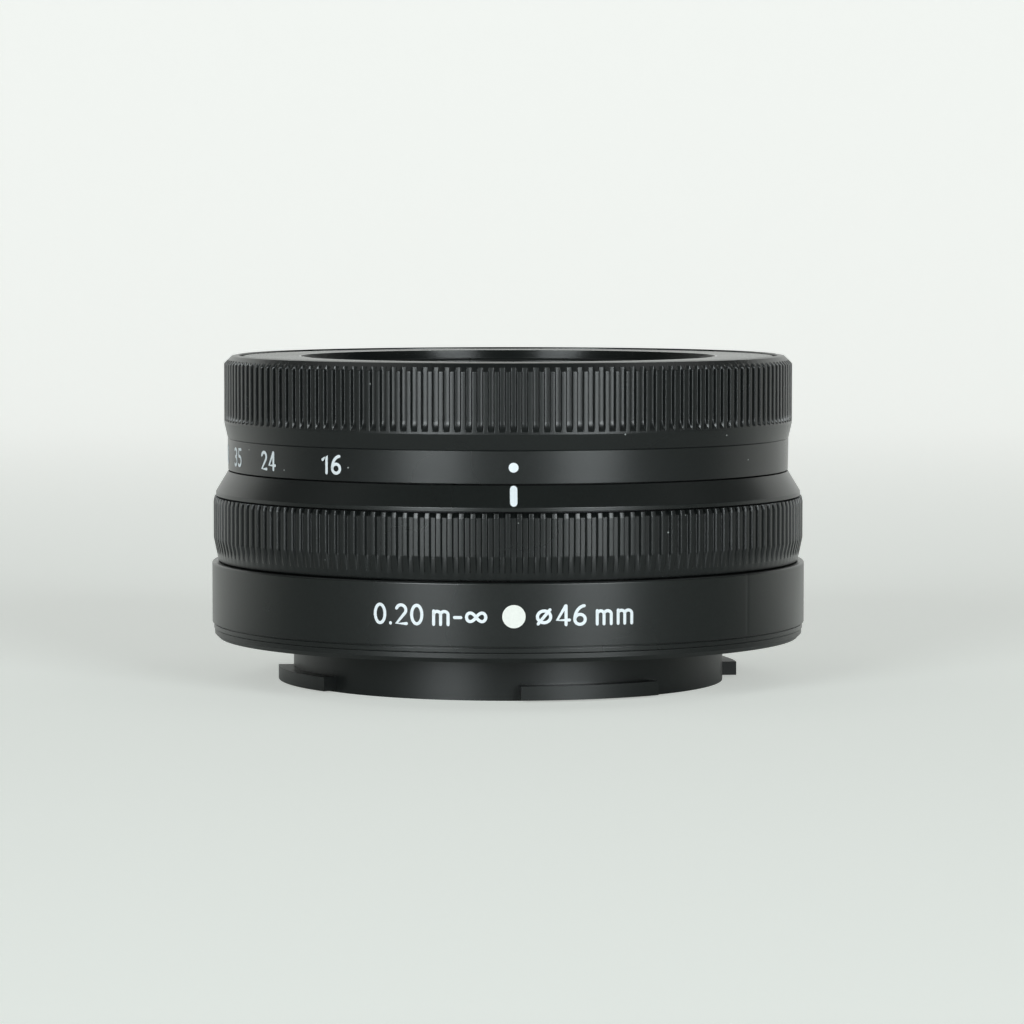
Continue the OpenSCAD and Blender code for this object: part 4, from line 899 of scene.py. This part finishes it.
class LENS_OT_base_shell(bpy.types.Operator):
    """Makes the plain base cover with its groove line and faint seam"""

    bl_idname = "lens.base_shell"
    bl_label = "Base cover"

    def execute(self, context):
        shape = context.scene.lens_shape
        out = BASE_R - shape.paint_t
        foot = BASE_R - shape.base_foot_in
        line = out - shape.base_line_in
        line_z0 = BASE_Z0 + shape.base_line_z
        line_z1 = line_z0 + shape.base_line_h
        outline = rounded([
            (SLEEVE_R, BASE_Z0, 0), (foot, BASE_Z0, shape.soft_fillet), (foot, line_z0, shape.edge_fillet),
            (line, line_z0, 0), (line, line_z1, 0), (out, line_z1, shape.foot_fillet),
            (out, BASE_Z1, shape.base_fillet), (SLEEVE_R, BASE_Z1, 0),
        ])
        outer_wall = foot - MM / 2
        rows = [(r, r - shape.seam_depth if r > outer_wall else r, z) for r, z in outline]
        made = lathe("base_shell", rows, self.columns(shape, out), finish("shell"))
        seat(made, "housing", "shell_black", "base_cover")
        return {"FINISHED"}

    def columns(self, shape, radius):
        """Columns a degree apart, with three at the seam."""
        seam = INDEX_ANGLE + shape.seam_angle
        half = shape.seam_w / 2 / radius
        round_rest = [(seam + math.radians(i), 0.0) for i in range(1, 360)]
        return [(seam - half, 0.0), (seam, 1.0), (seam + half, 0.0), *round_rest]


class LENS_OT_index_ring(bpy.types.Operator):
    """Makes the narrow cone that carries the index line"""

    bl_idname = "lens.index_ring"
    bl_label = "Index ring"

    def execute(self, context):
        shape = context.scene.lens_shape
        bore = GRIP_R - shape.cone_bore_in
        outline = rounded([
            (bore, CONE_Z0, 0), (CONE_R, CONE_Z0, shape.edge_fillet),
            (CONE_R, CONE_Z0 + shape.cone_rim_h, shape.cone_rim_fillet),
            (GRIP_R - shape.cone_top_in, CONE_Z1, shape.edge_fillet), (bore, CONE_Z1, 0),
        ])
        made = lathe("index_cone", plain_rows(outline), even_columns(CONE_COLUMNS), finish("shell"))
        seat(made, "housing", "shell_black", "index_ring")
        return {"FINISHED"}


class LENS_OT_control_ring(bpy.types.Operator):
    """Makes the ribbed control ring"""

    bl_idname = "lens.control_ring"
    bl_label = "Control ring"

    def execute(self, context):
        shape = context.scene.lens_shape
        bore = CONTROL_R - shape.control_wall
        floor = CONTROL_R - shape.control_depth
        taper_z = CONTROL_Z0 + shape.taper_h
        fade_z = taper_z - shape.taper_h * shape.control_depth / shape.taper_in
        chamfer_z = CONTROL_Z1 - shape.control_chamfer
        groove_top = CONTROL_Z1 - shape.control_drop
        outline = rounded([
            (bore, CONTROL_Z0, 0), (CONTROL_R - shape.taper_in, CONTROL_Z0, shape.foot_fillet),
            (floor, fade_z, 0), (CONTROL_R, taper_z, shape.taper_blend),
            (CONTROL_R, chamfer_z, shape.control_shoulder),
            (CONTROL_R - shape.control_bevel, CONTROL_Z1, shape.soft_fillet), (bore, CONTROL_Z1, 0),
        ])
        rows = ribbed_rows(outline, lambda z: floor - max(0.0, z - groove_top))
        made = lathe("control_grip", rows, self.columns(shape), finish("grip"), RIB_SHARP)
        seat(made, "control", "grip_black", "control_ring")
        return {"FINISHED"}

    def columns(self, shape):
        """Columns across each groove: a sloped wall with a soft foot and a rounded edge."""
        foot_in, foot_out, foot_share = 0.03 * MM, 0.02 * MM, 0.94
        edge_out, edge_r = 0.06 * MM, 0.10 * MM
        low, high = shape.control_floor_w / 2, shape.control_top_w / 2
        profile = [(0.0, 1.0), (low - foot_in, 1.0), (low + foot_out, foot_share)]
        profile += rib_edge(high + edge_out, edge_r, shape.control_depth, steepest=64)
        return rib_columns(shape.rib_count, CONTROL_R, profile)


class LENS_OT_zoom_ring(bpy.types.Operator):
    """Makes the zoom ring: ribbed grip, scale band and raised front lip"""

    bl_idname = "lens.zoom_ring"
    bl_label = "Zoom ring"

    def execute(self, context):
        shape = context.scene.lens_shape
        floor = GRIP_R - shape.zoom_groove_depth
        arc_end = math.acos(1 - shape.zoom_groove_depth / shape.runout_r)
        groove_z = ZOOM_Z0 + shape.zoom_groove_z
        arc_z = groove_z + shape.runout_r * math.sin(arc_end)

        def floor_at(z):
            if z < groove_z:
                return None
            if z >= arc_z:
                return floor
            turn = math.asin((arc_z - z) / shape.runout_r)
            return floor + shape.runout_r * (1 - math.cos(turn))

        rows = ribbed_rows(self.outline(shape, floor, groove_z, arc_z), floor_at)
        made = lathe("zoom_grip", rows, self.columns(shape), finish("grip"), RIB_SHARP)
        seat(made, "zoom", "grip_black", "zoom_ring")
        return {"FINISHED"}

    def outline(self, shape, floor, groove_z, arc_z, arc_steps=9):
        """The ring's section, with rows for the grooves' run-out."""
        bore = GRIP_R - shape.zoom_wall
        band = GRIP_R - shape.band_in
        band_z = ZOOM_Z0 + shape.band_line_z
        line = shape.band_line_w
        lip_in = FRONT_R + shape.lip_gap
        lip_under = ZOOM_Z1 - shape.lip_depth
        lip_edge_z = ZOOM_Z1 - shape.lip_fall
        chamfer_z = lip_edge_z - shape.grip_chamfer
        arc_rows = [
            (GRIP_R, groove_z + (arc_z - groove_z) * math.sin(math.pi / 2 * i / arc_steps), 0)
            for i in range(arc_steps + 1)
        ]
        return rounded([
            (bore, ZOOM_Z0, 0), (band - shape.band_foot_in, ZOOM_Z0, shape.foot_fillet),
            (band, band_z - line, shape.fine_fillet), (band - line, band_z, 0),
            (band, band_z + line, shape.fine_fillet), (GRIP_R, ZOOM_Z0 + shape.grip_z, shape.grip_fillet),
            *arc_rows, (GRIP_R, chamfer_z, shape.chamfer_fillet),
            (floor, chamfer_z + shape.zoom_groove_depth, 0),
            (GRIP_R - shape.grip_chamfer, lip_edge_z, shape.lip_outer_fillet),
            (lip_in, ZOOM_Z1, shape.lip_inner_fillet), (lip_in, lip_under, 0), (bore, lip_under, 0),
        ])

    def columns(self, shape):
        """Columns across each groove: an upright wall with a rounded foot and a rounded edge."""
        edge_out, edge_r = 0.075 * MM, 0.09 * MM
        half = shape.zoom_groove_w / 2
        profile = [(0.0, 1.0)]
        profile += [(half - inset_mm * MM, share) for inset_mm, share in ZOOM_FOOT]
        profile += rib_edge(half + edge_out, edge_r, shape.zoom_groove_depth)
        return rib_columns(shape.rib_count, GRIP_R, profile)


class LENS_OT_mouth_steps(bpy.types.Operator):
    """Makes the fine steps in the front ring's mouth"""

    bl_idname = "lens.mouth_steps"
    bl_label = "Mouth steps"

    def execute(self, context):
        shape = context.scene.lens_shape
        sunk = 0.06 * MM
        wide = shape.mouth_r + shape.mouth_w
        tread = shape.mouth_w / shape.mouth_steps
        riser = shape.mouth_h / shape.mouth_steps
        outline = [
            (shape.mouth_r + sunk, FRONT_Z1 - shape.mouth_h),
            (wide + sunk, FRONT_Z1 - sunk),
            (wide, FRONT_Z1),
        ]
        for i in range(shape.mouth_steps):
            r = wide - (i + 1) * tread
            outline += [(r, FRONT_Z1 - i * riser), (r, FRONT_Z1 - (i + 1) * riser)]
        made = lathe("mouth_steps", plain_rows(outline), even_columns(MOUTH_COLUMNS), finish("mouth"))
        seat(made, "front", "shell_black")
        return {"FINISHED"}


# Marks

# Numbers of the zoom scale and their places, in degrees from the index at rest
SCALE = {"16": 37.95, "24": 56.9, "35": 72.25, "50": 85.0}
# Measures on the base cover and their places, in degrees from the dot
LABELS = {"near_limit": ("0.20 m-∞", -15.55), "thread_size": ("⌀46 mm", 13.2)}


class LENS_OT_scale_marks(bpy.types.Operator):
    """Paints the zoom scale's numbers and dot, and the index line"""

    bl_idname = "lens.scale_marks"
    bl_label = "Scale marks"

    def execute(self, context):
        shape = context.scene.lens_shape
        band = GRIP_R - shape.band_in
        mark_z = ZOOM_Z0 + shape.mark_z
        for number, degrees in SCALE.items():
            made = figures("scale_" + number, number, shape.number_h, shape)
            wrap(made, lambda z: band, INDEX_ANGLE - math.radians(degrees), mark_z)
            seat(made, "zoom", "white_paint")
        disc = capsule(shape.scale_dot_d, shape.scale_dot_d)
        dot = flat_mark("scale_dot", disc, shape.paint_t, finish("paint"))
        wrap(dot, lambda z: band, INDEX_ANGLE, mark_z)
        seat(dot, "zoom", "white_paint")
        rim_z = CONE_Z0 + shape.cone_rim_h
        slope = (GRIP_R - shape.cone_top_in - CONE_R) / (CONE_Z1 - rim_z)
        line = flat_mark("index_line", capsule(shape.index_w, shape.index_h), shape.paint_t, finish("paint"))
        wrap(line, lambda z: CONE_R + slope * (z - rim_z), INDEX_ANGLE, shape.index_z)
        seat(line, "housing", "white_paint")
        return {"FINISHED"}


class LENS_OT_base_marks(bpy.types.Operator):
    """Paints the mounting dot and two plain measures on the base cover"""

    bl_idname = "lens.base_marks"
    bl_label = "Base marks"

    def execute(self, context):
        shape = context.scene.lens_shape
        low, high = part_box("mount_dot")
        middle_z = (low.z + high.z) / 2
        surface = BASE_R - shape.paint_t
        disc = capsule(high.z - low.z, high.z - low.z, steps=24)
        dot = flat_mark("mounting_dot", disc, shape.paint_t, finish("dot"))
        wrap(dot, lambda z: surface, INDEX_ANGLE, middle_z)
        seat(dot, "housing", "white_paint", "mount_dot")
        for name, (words, degrees) in LABELS.items():
            made = figures(name, words, shape.label_h, shape)
            wrap(made, lambda z: surface, INDEX_ANGLE + math.radians(degrees), middle_z + shape.label_rise)
            seat(made, "housing", "white_paint")
        return {"FINISHED"}


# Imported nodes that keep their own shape

class LENS_OT_glass(bpy.types.Operator):
    """Gives the nine elements their coated glass"""

    bl_idname = "lens.glass"
    bl_label = "Elements"

    def execute(self, context):
        dress("glass", "lens_1", "lens_2", "lens_3", "lens_4")
        dress("glass_rear", "lens_5", "lens_6", "lens_7", "lens_8", "lens_9")
        return {"FINISHED"}


class LENS_OT_barrels(bpy.types.Operator):
    """Finishes the mount, the front ring and the telescoping barrels"""

    bl_idname = "lens.barrels"
    bl_label = "Barrels and mount"

    def execute(self, context):
        dress("mount", "mount_bayonet")
        dress("front", "filter_ring")
        dress("barrel", "first_barrel", "front_barrel")
        dress("inner", "fixed_barrel", "drive_barrel", "main_frame")
        dress("alloy", "cam_ring")
        return {"FINISHED"}


class LENS_OT_cells(bpy.types.Operator):
    """Finishes the cells, the trim ring and the baffles"""

    bl_idname = "lens.cells"
    bl_label = "Cells and baffles"

    def execute(self, context):
        dress("inner", "trim_ring", "group1_cell", "group2_frame", "iris_plate", "iris_cover",
              "stabiliser_frame", "focus_frame", "rear_cell", "rear_baffle", "contact_block")
        return {"FINISHED"}


class LENS_OT_metalwork(bpy.types.Operator):
    """Finishes pins, screws, shafts and other metal pieces"""

    bl_idname = "lens.metalwork"
    bl_label = "Metalwork"

    def execute(self, context):
        dress("steel", "mount_screws", "barrel_screws",
              "drive_pins", "cam_pins", "front_pins", "focus_shafts", "focus_screw")
        dress("alloy", "iris_ring", "stabiliser_guide")
        dress("blade", "control_washer", "barrel_retainer")
        dress("blade", *[f"iris_blade_{i}" for i in range(1, 8)])
        dress("brass", "focus_nut")
        dress("can", "iris_motor", "focus_motor")
        dress("magnet", "stabiliser_magnets")
        return {"FINISHED"}


class LENS_OT_electrics(bpy.types.Operator):
    """Finishes contacts, coils, encoder, flexible print and board"""

    bl_idname = "lens.electrics"
    bl_label = "Electrics"

    def execute(self, context):
        dress("gold", "contact_pins")
        dress("coil", "stabiliser_coils")
        dress("scale", "encoder_scale")
        dress("inner", "encoder_sensor")
        dress("flex", "contact_flex")
        dress("board", "main_board")
        return {"FINISHED"}


OPERATORS = (
    LENS_OT_stage, LENS_OT_base_shell, LENS_OT_index_ring, LENS_OT_control_ring, LENS_OT_zoom_ring,
    LENS_OT_scale_marks, LENS_OT_base_marks, LENS_OT_glass, LENS_OT_barrels, LENS_OT_mouth_steps,
    LENS_OT_cells, LENS_OT_metalwork, LENS_OT_electrics,
)
GROUPS = {"lens_shape": LensShape, "lens_finish": LensFinish, "lens_stage": LensStage}


class LENS_PT_panel(bpy.types.Panel):
    """Lists the lens's sizes, finishes and build steps"""

    bl_idname = "LENS_PT_panel"
    bl_label = "Zoom lens"
    bl_space_type = "VIEW_3D"
    bl_region_type = "UI"
    bl_category = "Zoom lens"

    def draw(self, context):
        for name in GROUPS:
            group = getattr(context.scene, name)
            box = self.layout.box()
            for key in group.__annotations__:
                box.prop(group, key)
        for operator in OPERATORS:
            self.layout.operator(operator.bl_idname)


def register():
    for kind in (*GROUPS.values(), *OPERATORS, LENS_PT_panel):
        bpy.utils.register_class(kind)
    for key, kind in GROUPS.items():
        setattr(bpy.types.Scene, key, PointerProperty(type=kind))


def unregister():
    for key in GROUPS:
        delattr(bpy.types.Scene, key)
    for kind in (LENS_PT_panel, *reversed(OPERATORS), *reversed(tuple(GROUPS.values()))):
        bpy.utils.unregister_class(kind)


def main():
    register()
    for operator in OPERATORS:
        family, step = operator.bl_idname.split(".")
        getattr(getattr(bpy.ops, family), step)()


if __name__ == "__main__":
    main()
